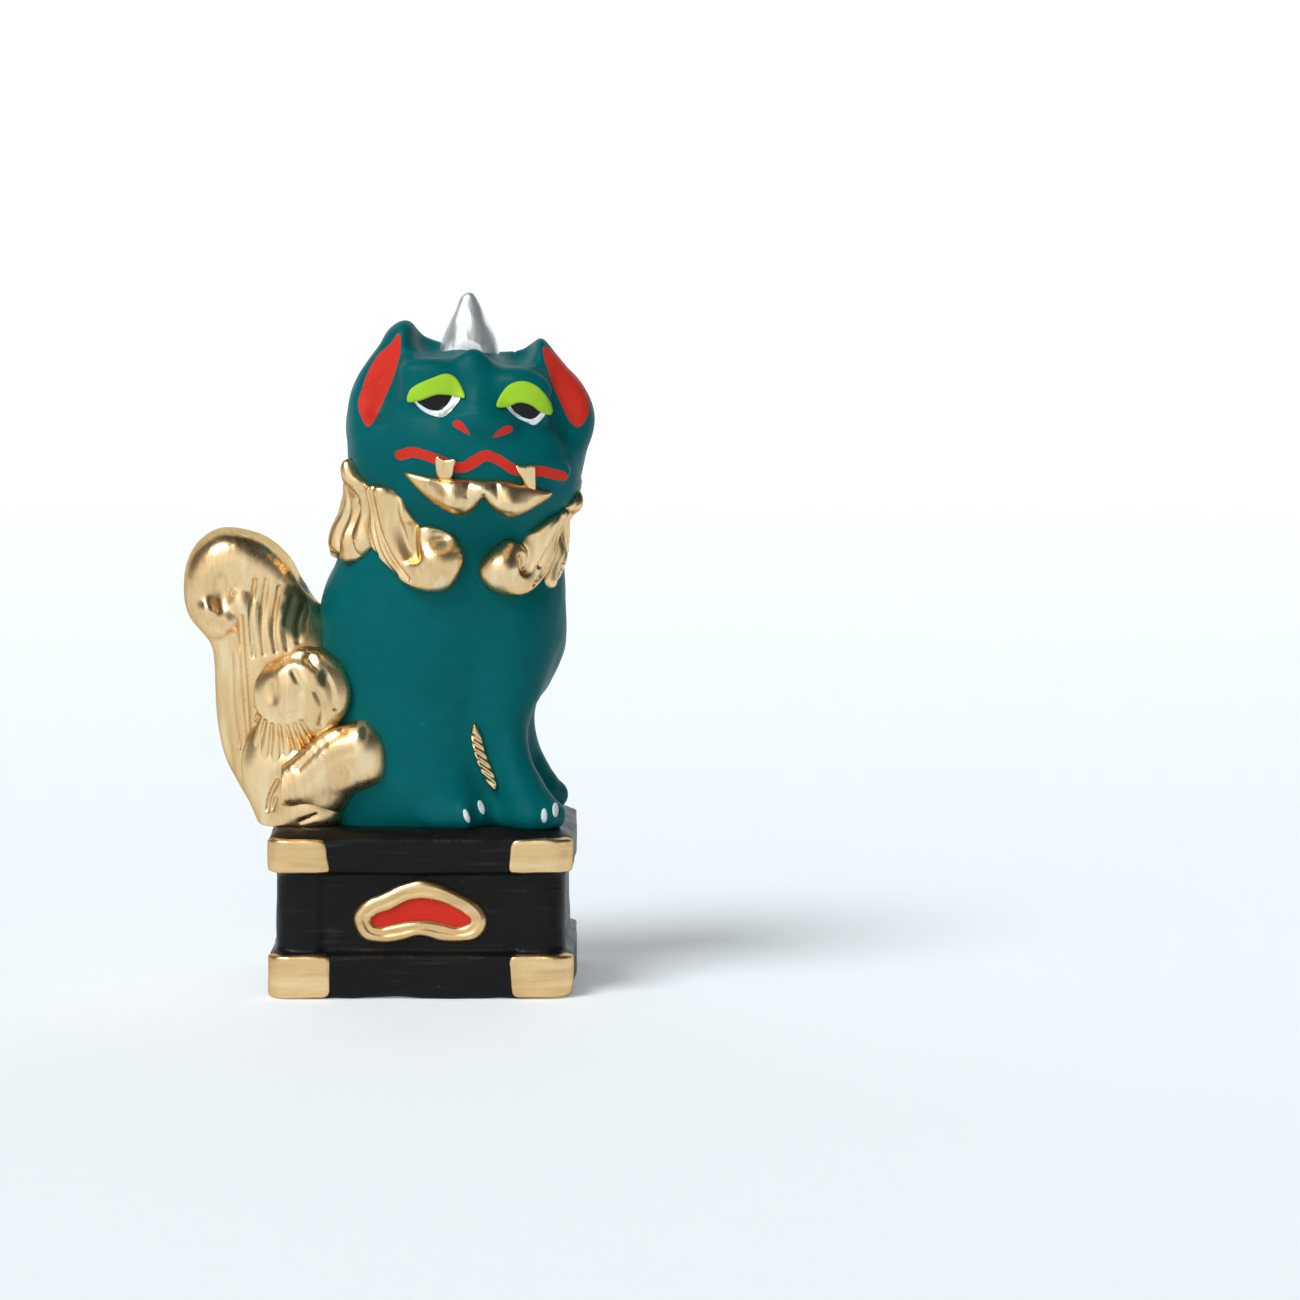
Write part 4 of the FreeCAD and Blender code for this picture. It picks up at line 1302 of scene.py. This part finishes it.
@dataclass
class Mane:
    """The gilt mane, as reliefs on a sheet unrolled round the neck.

    A place on it is drawn by its bearing round the neck in degrees, 0 at the chest's front and
    negative to the dog's right, and by its height above the plinth.

    Attributes:
        bench: Where the pieces are skinned.
        body: The clay that the mane is luted on to.
        across: How wide the neck counts, from its axis, when a bearing is taken.
        deep: How deep it counts.
        per_degree: The sheet's width for each degree.
    """

    bench: Bench
    body: Body
    across: float = 14.6
    deep: float = 10.5
    per_degree: float = 0.245

    def sheet(self, at: Lattice) -> tuple[Array, Array]:
        """Sheet coordinates over a lattice, both in millimetres."""
        x, y = self.body.neck
        bearing = np.arctan2((at.x - x) / self.across, -(at.y - y) / self.deep)
        return np.degrees(bearing) * self.per_degree, at.z - self.body.foot

    def drawn(self, points: Iterable[Point]) -> tuple[Point, ...]:
        """Points given as bearings and heights, on the sheet."""
        return tuple((bearing * self.per_degree, height) for bearing, height in points)

    def groove(self, points: Iterable[Point], width: float = 0.4, depth: float = 0.4) -> Groove:
        """A groove whose points are bearings and heights."""
        return Groove(self.drawn(points), width, depth)

    def swell(self, bearing: float, height: float, reach: float, rise: float) -> Swell:
        """A swell placed by bearing and height."""
        return Swell((bearing * self.per_degree, height), reach, rise)

    def reliefs(self) -> dict[str, tuple[Relief, ...]]:
        """The reliefs of each node of the mane."""
        groove, swell, drawn = self.groove, self.swell, self.drawn
        right_curl = Relief(
            drawn((
                (-36, 32.3), (-28, 30.4), (-21, 29.1), (-10, 28.4), (-1, 29.2), (5, 32.3), (2, 34.9),
                (-4, 36.0), (-11, 36.6), (-17, 36.7), (-20, 38.6), (-23, 40.4), (-28, 41.2),
                (-36, 41.4), (-42, 40.6), (-45, 37.1), (-42, 34.1),
            )), 1.25, 1.5,
            grooves=(
                groove(((-40, 41.5), (-42, 37.0), (-37, 33.0)), 0.35, 0.35),
                groove(((-37, 41.6), (-38.5, 37.0), (-33, 32.6), (-27, 30.6)), 0.35, 0.45),
                groove(((-33.5, 41.8), (-34.5, 37.5), (-29, 33.2), (-20, 30.3)), 0.3, 0.3),
                groove(((-24, 40.5), (-25, 37.5), (-22.5, 34.6), (-19.5, 33.0)), 0.75, 0.9),
                groove(((-18.4, 36.4), (-17.8, 34.4), (-16.2, 32.8)), 0.55, 0.8),
            ),
            swells=(swell(-7, 32.2, 2.5, 1.6), swell(-28, 37.5, 2.0, 0.6), swell(-5, 35.0, 1.1, -0.9)),
        )
        left_curl = Relief(
            drawn((
                (12, 31.3), (17, 33.2), (26, 34.8), (35, 34.3), (38, 35.6), (44, 37.0), (51, 37.9),
                (58, 38.4), (63, 36.8), (60, 33.8), (54, 31.4), (45, 29.2), (34, 27.9), (21, 28.3),
                (14, 29.7),
            )), 1.25, 1.5,
            grooves=(
                groove(((34.5, 34.8), (37.0, 32.8), (35, 31.2), (31.5, 31.2), (30.0, 32.4)), 0.55, 0.75),
                groove(((52, 38.5), (47, 34.5), (42, 31.6)), 0.35, 0.4),
                groove(((57, 38.6), (52, 34.8), (47, 31.4), (40, 29.3)), 0.35, 0.45),
                groove(((61, 38.0), (57, 34.8), (51, 31.2)), 0.3, 0.35),
            ),
            swells=(swell(22, 31.2, 2.3, 1.5), swell(45, 34.2, 2.0, 0.6)),
        )
        right_lock = Relief(
            drawn((
                (-50, 44.4), (-62, 43.2), (-78, 40.6), (-98, 38.6), (-107, 34.4), (-98, 31.6),
                (-84, 32.4), (-70, 32.6), (-60, 31.6), (-50, 32.3), (-42, 34.4), (-44, 37.4),
                (-40, 41.2), (-44, 42.6),
            )), 1.1, 1.3,
            grooves=(
                groove(((-57, 43.5), (-56, 41.0), (-50, 39.8)), 0.7, 0.6),
                groove(((-66, 42.5), (-62, 38.5), (-66, 35.0), (-64, 32.0)), 0.7, 0.6),
                groove(((-84, 39.8), (-80, 36.5), (-84, 32.8)), 0.5, 0.6),
                groove(((-97, 38.2), (-93, 35.5), (-97, 32.2)), 0.5, 0.5),
                groove(((-51, 38.5), (-52, 36.0), (-50, 33.0)), 0.55, 0.4),
            ),
            swells=(swell(-50, 41.8, 1.8, 0.6), swell(-54, 34.8, 1.6, 0.6), swell(-76, 35.2, 2.0, 0.5)),
        )
        left_lock = Relief(
            drawn((
                (55, 38.0), (60, 39.8), (66, 40.4), (73, 39.4), (84, 37.4), (97, 36.4), (101, 34.0),
                (97, 31.8), (90, 32.4), (80, 32.4), (74, 31.6), (66, 29.4), (58, 28.4), (53, 29.6),
                (60, 33.0), (64, 36.4),
            )), 0.7, 1.2,
            grooves=(
                groove(((67, 39.4), (68, 37.6), (66, 35.6)), 0.6, 0.8),
                groove(((81, 38.6), (79, 36.4), (83, 33.0)), 0.5, 0.5),
                groove(((74, 36.5), (69, 33.5), (62, 29.8)), 0.5, 0.5),
                groove(((92, 36.8), (90, 34.8), (92, 32.4)), 0.5, 0.4),
            ),
            swells=(swell(61, 38.2, 1.4, 0.5), swell(66, 32.6, 1.6, 0.6)),
        )
        nape = []
        places = ((117, 0.0), (142, -0.6), (167, 0.8), (193, 1.2), (218, -0.4), (243, 0.3))
        for bearing, drop in places:
            lock = drawn((
                (bearing - 16, 41.0), (bearing + 1, 42.6), (bearing + 16, 40.6), (bearing + 13, 35.6),
                (bearing + 2, 31.2 - drop), (bearing - 3, 31.6 - drop), (bearing - 13, 36.0),
            ))
            tooled = (
                groove(((bearing - 5, 42.0), (bearing - 5.5, 37.5), (bearing - 1, 32.6)), 0.45, 0.5),
                groove(((bearing + 5, 42.0), (bearing + 4, 37.5), (bearing + 1, 33.0)), 0.45, 0.5),
            )
            nape.append(Relief(lock, 1.3, 1.3, grooves=tooled))
        return {
            "right_mane_curl": (right_curl,), "left_mane_curl": (left_curl,),
            "right_mane_lock": (right_lock,), "left_mane_lock": (left_lock,),
            "nape_mane": tuple(nape),
        }

    def build(self) -> None:
        """Makes the pieces of the mane."""
        x, y = self.body.neck
        for node, reliefs in self.reliefs().items():
            if node == "nape_mane":
                low, high = (x - 18, y, self.body.foot + 27), (x + 18, y + 16, self.body.foot + 46)
                grain = Grain.MIDDLE
            else:
                low, high = (np.array(corner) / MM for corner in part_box(node))
                low, high = low - (4.0, 4.0, 4.0), high + (4.0, 6.5, 4.0)
                grain = Grain.FINE
            at = Lattice(low, high, grain)
            form = self.body.surface(at)
            s, t = self.sheet(at)
            if node == "nape_mane":
                s = np.where(s < 0, s + 360 * self.per_degree, s)
            clay = np.minimum.reduce([relief.over(form, s, t) for relief in reliefs])
            self.bench.enter(self.bench.skin(node, at, clay), node, Finish.GILT)


@dataclass
class Tail:
    """The gilt tail: an upright plume that rolls over at its top, and the curls at its root.

    The two flanks are alike, so every form is worked on the right flank and read for both.

    Attributes:
        bench: Where the pieces are skinned.
        body: The clay that the tail grows from.
        thick: Half the plume's thickness.
        rounding: How far in from its outline the plume is rounded.
    """

    bench: Bench
    body: Body
    thick: float = 5.7
    rounding: float = 7.0

    def plume(self, at: Lattice) -> Array:
        """The plume with its scroll and its long tooled strands."""
        f = self.body.foot
        outline = Stencil((
            (-13.2, f + 26.6), (-15.2, f + 27.8), (-16.8, f + 30.0), (-18.0, f + 32.0),
            (-19.6, f + 33.6), (-22.0, f + 34.8), (-24.8, f + 35.1), (-27.0, f + 33.9),
            (-28.5, f + 31.2), (-28.8, f + 28.0), (-28.3, f + 25.0), (-27.0, f + 22.9),
            (-25.8, f + 20.6), (-25.5, f + 16.0), (-25.2, f + 11.0), (-24.0, f + 6.4),
            (-22.0, f + 2.6), (-20.4, f + 0.6), (-16.0, f - 1.2), (-10.0, f - 1.0), (-8.5, f + 8.0),
            (-9.5, f + 18.0), (-10.5, f + 23.5),
        ))
        y = np.abs(at.y)
        s = outline(at.x, at.z)
        inner = np.maximum(s + self.rounding, 0)
        slab = np.sqrt(inner**2 + (y * self.rounding / self.thick) ** 2 + 1e-6) - self.rounding
        folded = at.folded()
        roll = strand(folded, (
            (-16.4, -3.2, f + 27.6, 1.6), (-18.2, -3.4, f + 30.2, 2.0), (-21.0, -3.4, f + 31.8, 2.3),
            (-23.8, -3.4, f + 31.9, 2.3), (-25.8, -3.4, f + 29.9, 2.2), (-26.2, -3.4, f + 27.2, 2.0),
            (-25.2, -3.8, f + 25.2, 2.0), (-23.5, -4.0, f + 24.6, 1.9), (-22.6, -4.2, f + 26.0, 1.2),
        ))
        clay = melt(slab, roll, 3.4)
        clay = melt(clay, ball(folded, (-25.3, -4.6, f + 26.0), (1.6, 2.3, 1.6)), 0.6)
        eye = ball(folded, (-24.0, -6.9, f + 28.0), (1.3, 2.0, 2.1))
        clay = press(clay, -eye, 1.6)
        depth = sum(groove.depth_at(at.x, at.z) for groove in (
            Groove((
                (-22.4, f + 25.4), (-22.3, f + 23.6), (-23.2, f + 22.4), (-24.6, f + 21.9),
            ), 0.9, 0.45),
            Groove((
                (-21.8, f + 25.0), (-21.6, f + 19.8), (-21.1, f + 12.1), (-20.3, f + 3.0),
            ), 0.45, 0.55),
            Groove(((-23.1, f + 20.5), (-22.9, f + 14.0), (-22.2, f + 9.0)), 0.3, 0.3),
            Groove(((-24.3, f + 18.0), (-24.2, f + 13.0), (-23.4, f + 6.0)), 0.6, 0.28),
            Groove(((-20.3, f + 20.3), (-20.6, f + 25.0), (-20.0, f + 29.5)), 0.3, 0.4),
            Groove(((-19.0, f + 20.6), (-19.3, f + 24.5), (-18.6, f + 29.4)), 0.35, 0.35),
            Groove(((-17.6, f + 20.9), (-17.9, f + 24.0), (-17.1, f + 28.6)), 0.3, 0.4),
            Groove(((-16.2, f + 21.2), (-16.4, f + 24.0), (-15.6, f + 27.4)), 0.35, 0.35),
            Groove(((-14.9, f + 22.0), (-15.0, f + 24.0), (-14.4, f + 26.2)), 0.3, 0.3),
        ))
        return clay + depth * np.clip(y / 2 - 0.4, 0, 1)

    def curl(self, at: Lattice) -> Array:
        """The large curl, a fat roll that turns in to an eye on its left, above a fan of strokes."""
        f = self.body.foot
        clay = pillow(at, (-13.9, -8.4, f + 16.0), (5.6, 2.7, 5.5))
        clay = melt(clay, pillow(at, (-17.1, -7.4, f + 16.0), (3.2, 2.8, 4.1)), 0.9)
        clay = melt(clay, pillow(at, (-15.8, -5.8, f + 10.0), (4.8, 3.0, 6.2)), 2.2)
        clay = press(clay, -ball(at, (-18.0, -10.6, f + 16.2), (0.8, 1.0, 1.4)), 1.2)
        turn = Groove((
            (-13.2, f + 20.6), (-16.2, f + 20.3), (-18.6, f + 18.6), (-19.3, f + 16.3),
            (-18.6, f + 14.0), (-16.6, f + 13.0), (-14.8, f + 14.2), (-14.6, f + 16.4),
        ), 0.8, 0.45)
        fan = []
        for degrees in range(214, 318, 13):
            angle = math.radians(degrees)
            start = (-16.6 + 4.2 * math.cos(angle), f + 15.6 + 3.4 * math.sin(angle))
            end = (-16.2 + 7.2 * math.cos(angle), f + 15.6 + 8.2 * math.sin(angle))
            fan.append(Groove((start, end), 0.34, 0.42))
        comb = (
            Groove(((-13.4, f + 20.3), (-11.0, f + 17.8), (-10.2, f + 14.6)), 0.4, 0.25),
            Groove(((-12.4, f + 16.6), (-11.6, f + 14.6), (-11.9, f + 12.6)), 0.4, 0.35),
            Groove(((-15.0, f + 18.8), (-13.6, f + 16.0), (-13.4, f + 13.0)), 0.5, 0.3),
        )
        return clay + sum(groove.depth_at(at.x, at.z) for groove in (turn, *fan, *comb))

    def rump(self, at: Lattice) -> Array:
        """The small curl over the haunch, on a neck that sweeps up from the tail's foot."""
        f = self.body.foot
        at = at.changed(y=np.minimum(at.y, -8.4))
        clay = strand(at, (
            (-16.0, -8.4, f + 4.8, 2.4), (-12.8, -8.4, f + 7.0, 2.8), (-10.0, -8.6, f + 9.0, 3.1),
            (-7.4, -8.8, f + 9.5, 3.1),
        ))
        clay = melt(clay, ball(at, (-7.0, -8.8, f + 9.0), (2.7, 3.0, 3.7)), 1.0)
        clay = melt(clay, ball(at, (-12.4, -7.3, f + 4.6), (4.4, 3.1, 4.3)), 1.6)
        clay = melt(clay, strand(at, (
            (-9.6, -8.8, f + 5.9, 1.1), (-7.8, -9.2, f + 6.0, 1.3), (-5.9, -9.2, f + 6.7, 1.4),
        )), 2.4)
        depth = sum(groove.depth_at(at.x, at.z) for groove in (
            Groove(((-14.6, f + 7.2), (-11.8, f + 10.0), (-9.2, f + 11.6)), 0.5, 0.22),
            Groove(((-13.4, f + 5.6), (-10.8, f + 8.2), (-8.2, f + 9.4)), 0.6, 0.2),
        ))
        return clay + depth

    def tuft(self, at: Lattice) -> Array:
        """The tuft at the tail's foot."""
        f = self.body.foot
        clay = pillow(at, (-13.4, -7.0, f + 1.8), (4.1, 3.2, 3.9))
        clay = melt(clay, pillow(at, (-16.4, -5.0, f + 0.8), (3.6, 3.5, 5.4)), 1.6)
        clay = melt(clay, pillow(at, (-18.0, -4.4, f + 6.6), (4.0, 3.6, 6.6)), 1.6)
        clay = melt(clay, pillow(at, (-14.4, -6.4, f + 6.0), (3.6, 3.2, 4.4)), 1.6)
        depth = sum(groove.depth_at(at.x, at.z) for groove in (
            Groove(((-18.6, f + 1.8), (-18.2, f + 3.6), (-17.2, f + 5.6)), 0.22, 0.4),
            Groove(((-17.9, f + 2.0), (-17.5, f + 3.4)), 0.2, 0.3),
            Groove(((-14.4, f + 0.7), (-12.6, f + 1.5)), 0.3, 0.3),
        ))
        return clay + depth

    def build(self, plinth: Plinth) -> None:
        """Makes the pieces of the tail."""
        forms: tuple[tuple[str, Callable[[Lattice], Array], Grain], ...] = (
            ("tail_curl", self.curl, Grain.FINE), ("rump_curl", self.rump, Grain.FINE),
            ("tail_foot", self.tuft, Grain.MIDDLE),
        )
        for name, form, grain in forms:
            for side, sign in (("right", -1), ("left", 1)):
                node = f"{side}_{name}"
                low, high = (np.array(corner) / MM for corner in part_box(node))
                low, high = low - 5.0, high + 5.0
                near, far = sorted((sign * 0.5, sign * 15.0))
                low[1], high[1] = near, far
                at = Lattice(low, high, grain)
                clay = form(at.folded()) + touch(at, 0.1, 5.0, 2.0)
                clay = np.maximum(clay, -plinth.clay(at) - 0.6)
                clay = np.maximum(clay, 1.0 - np.abs(at.y))
                clay = press(clay, self.body.foot - 0.3 - at.z, 0.6)
                self.enter(self.bench.skin(node, at, clay), node)
        low, high = (np.array(corner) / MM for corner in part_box("tail_plume"))
        at = Lattice(low - 3.0, high + (7.0, 3.0, 3.0), Grain.MIDDLE)
        clay = self.plume(at) + touch(at, 0.1, 6.0, 3.0)
        clay = np.maximum(clay, -plinth.clay(at) - 0.6)
        self.enter(self.bench.skin("tail_plume", at, clay), "tail_plume")

    def enter(self, piece: bpy.types.Object, node: str) -> None:
        """Keeps where the gilding is rubbed thin, and enters the piece."""
        f = self.body.foot
        thin = ((-15.3, f + 25.7, 1.8), (-11.6, f + 18.5, 0.7), (-6.9, f + 11.6, 0.6))

        def distance(points: Array) -> Array:
            """The distance to the nearest thin place, counted across the flank."""
            x, z = points[:, 0], points[:, 2]
            return np.minimum.reduce([np.hypot(x - a, (z - b) / 1.9) - r for a, b, r in thin])

        self.bench.mark(piece, "bare", distance)
        self.bench.enter(piece, node, Finish.GILT_TAIL)


@dataclass
class Trim:
    """The gilt tufts behind the elbows and the white claws."""

    bench: Bench
    body: Body

    def build(self) -> None:
        """Makes the tufts and the claws."""
        f = self.body.foot
        for side, sign in (("right", -1), ("left", 1)):
            near, far = sorted((sign * 5.0, sign * 13.5))
            at = Lattice((4.0, near, f + 2.5), (11.5, far, f + 14.5), Grain.DETAIL)
            twist = tuple(
                Groove(((6.0 + 0.26 * k, f + 12.0 - k), (8.2 + 0.26 * k, f + 10.4 - k)), 0.28, 0.26)
                for k in range(1, 8)
            )
            relief = Relief(
                ((6.5, f + 12.6), (7.3, f + 11.2), (8.0, f + 8.6), (8.9, f + 6.2), (9.2, f + 4.8),
                 (8.6, f + 4.2), (7.6, f + 5.8), (6.6, f + 8.2), (6.0, f + 11.0)),
                0.75, 0.6, grooves=twist,
            )
            clay = relief.over(self.body.surface(at), at.full(at.x), at.full(at.z))
            piece = self.bench.skin(f"{side}_elbow_tuft", at, clay)
            self.bench.enter(piece, f"{side}_elbow_tuft", Finish.GILT)
        self.claws("fore_claws", ((14.9, 11.0, f + 1.6, 0.0), (16.2, 9.9, f + 2.1, 0.0)))
        self.claws("hind_claws", ((5.6, 11.0, f + 1.6, 0.3), (7.3, 9.8, f + 2.4, 0.3)))

    def claws(self, node: str, places: Sequence[tuple[float, float, float, float]]) -> None:
        """Dabs of thick white paint, one to a toe.

        Args:
            node: Their node's name.
            places: x, the distance from the middle plane, z and the lean of each, on both flanks.
        """
        xs, zs = [p[0] for p in places], [p[2] for p in places]
        at = Lattice((min(xs) - 2, -13.5, min(zs) - 2), (max(xs) + 2, 13.5, max(zs) + 2), Grain.FINE)
        form = self.body.surface(at)
        clay = None
        for x, deep, z, lean in places:
            across, out, up = at.x - x, np.abs(at.y) - deep, at.z - z
            dab = np.sqrt(((across + lean * up) / 0.4) ** 2 + (out / 1.6) ** 2 + (up / 0.9) ** 2)
            dab = press(0.4 * dab - 0.4, form - 0.25, 0.2)
            clay = dab if clay is None else np.minimum(clay, dab)
        clay = np.maximum(clay, -form - 0.4)
        self.bench.enter(self.bench.skin(node, at, clay), node, Finish.CLAW)


# --------------------------------------------------------------------------- studio


@dataclass
class Studio:
    """A pale sweep, soft light and the camera.

    Attributes:
        aim: Where the camera looks, in millimetres.
        elevation: How far it looks down, in degrees.
        distance: How far off it stands, in millimetres.
        lens: Its focal length.
        floor_colour: The sweep's paper.
        floor_glow: How strongly the paper glows.
        glow_colour: The colour that it glows in.
        key_angle: How wide the key light is, in degrees.
        key_power: How strong it is.
        key_from: Where it comes from: left, front and up.
        room: The room's tone by height, from the horizon up.
        box_from: Where the soft box stands: left, front and up.
        box_edge: How squarely a ray must face the box to see its edge, and its whole glow.
        box_tone: The box's tone.
    """

    aim: Spot = (27.6, -14.0, 42.25)
    elevation: float = 6.5
    distance: float = 515.0
    lens: float = 120.0
    floor_colour: RGB = (0.8, 0.85, 0.89)
    floor_glow: float = 0.22
    glow_colour: RGB = (0.93, 0.975, 1.0)
    key_angle: float = 26.0
    key_power: float = 2.1
    key_from: Spot = (0.5, 0.5, 0.95)
    room: tuple[tuple[float, RGB], ...] = (
        (0.0, (0.42, 0.44, 0.46)), (0.3, (0.16, 0.16, 0.16)), (0.7, (0.03, 0.03, 0.03)),
    )
    box_from: Spot = (0.42, 0.9, 0.12)
    box_edge: tuple[float, float] = (0.5, 0.98)
    box_tone: RGB = (1.12, 1.12, 1.1)

    def build(self) -> None:
        """Sets the studio up."""
        self.sweep()
        self.key()
        self.world()
        self.camera()

    def sweep(self) -> None:
        """A seamless floor that curves up into a backdrop."""
        half, near, run, radius, tall, steps = 1.6, -1.6, 0.9, 0.5, 1.6, 16
        profile = [(near, 0.0), (run, 0.0)]
        for step in range(1, steps + 1):
            turn = math.pi / 2 * step / steps
            profile.append((run + radius * math.sin(turn), radius - radius * math.cos(turn)))
        profile.append((run + radius, tall))
        corners = [(side, y, z) for y, z in profile for side in (-half, half)]
        faces = [(2 * i, 2 * i + 1, 2 * i + 3, 2 * i + 2) for i in range(len(profile) - 1)]
        mesh = bpy.data.meshes.new("sweep")
        mesh.from_pydata(corners, [], faces)
        mesh.shade_smooth()
        floor = bpy.data.objects.new("sweep", mesh)
        bpy.context.scene.collection.objects.link(floor)
        n = Nodes.finish("sweep_paper")
        tone = n.noise((0.004, 0.004, 0.004), 2.0).between(0.2, 0.8) * 0.3
        paper = n.mix(tone, self.floor_colour, tuple(0.96 * c for c in self.floor_colour))
        mesh.materials.append(n.wire(
            Base_Color=paper, Roughness=0.85, Specular_IOR_Level=0.1,
            Emission_Color=(*self.glow_colour, 1.0), Emission_Strength=self.floor_glow,
        ))

    def key(self) -> None:
        """A very wide, soft light from the upper left, in front of the figure."""
        lamp = bpy.data.lights.new("key", "SUN")
        lamp.angle = math.radians(self.key_angle)
        lamp.energy = self.key_power
        holder = bpy.data.objects.new("key", lamp)
        left, front, up = self.key_from
        holder.rotation_euler = (math.atan2(math.hypot(left, front), up), 0.0, -math.atan2(left, front))
        bpy.context.scene.collection.objects.link(holder)

    def world(self) -> None:
        """A soft room, dim overhead, with a wide bright patch low down on the left and in front."""
        world = bpy.data.worlds.new("room")
        n = Nodes(world, "Background", "Generated")
        across, deep, rise = (
            n.add("ShaderNodeSeparateXYZ", {}, {0: n.place}, axis) for axis in range(3)
        )
        room = n.add("ShaderNodeValToRGB", {"stops": self.room}, {0: rise})
        left, front, up = self.box_from
        facing = across * -left + deep * -front + rise * up
        glow = n.mix(facing.between(*self.box_edge), room, self.box_tone)
        bpy.context.scene.world = n.wire(Color=glow, Strength=1.0)

    def camera(self) -> None:
        """The camera, a little above the figure's middle."""
        lens = bpy.data.cameras.new("camera")
        lens.lens = self.lens
        lens.sensor_width = 36.0
        lens.clip_start, lens.clip_end = 0.05, 20.0
        eye = bpy.data.objects.new("camera", lens)
        rise = math.radians(self.elevation)
        x, y, z = self.aim
        eye.location = (
            x * MM, (y - self.distance * math.cos(rise)) * MM, (z + self.distance * math.sin(rise)) * MM
        )
        eye.rotation_euler = (math.pi / 2 - rise, 0.0, 0.0)
        bpy.context.scene.collection.objects.link(eye)
        bpy.context.scene.camera = eye
        bpy.context.scene.view_settings.view_transform = "Standard"


def main() -> None:
    """Builds the figure and its studio."""
    logging.basicConfig(level=logging.INFO, format="%(name)s: %(message)s")
    Studio().build()
    bench = Bench()
    plinth = Plinth(bench)
    body = Body(bench)
    plinth.build()
    body.build(plinth)
    Face(bench, body).build()
    Mane(bench, body).build()
    Tail(bench, body).build(plinth)
    Trim(bench, body).build()


if __name__ == "__main__":
    main()
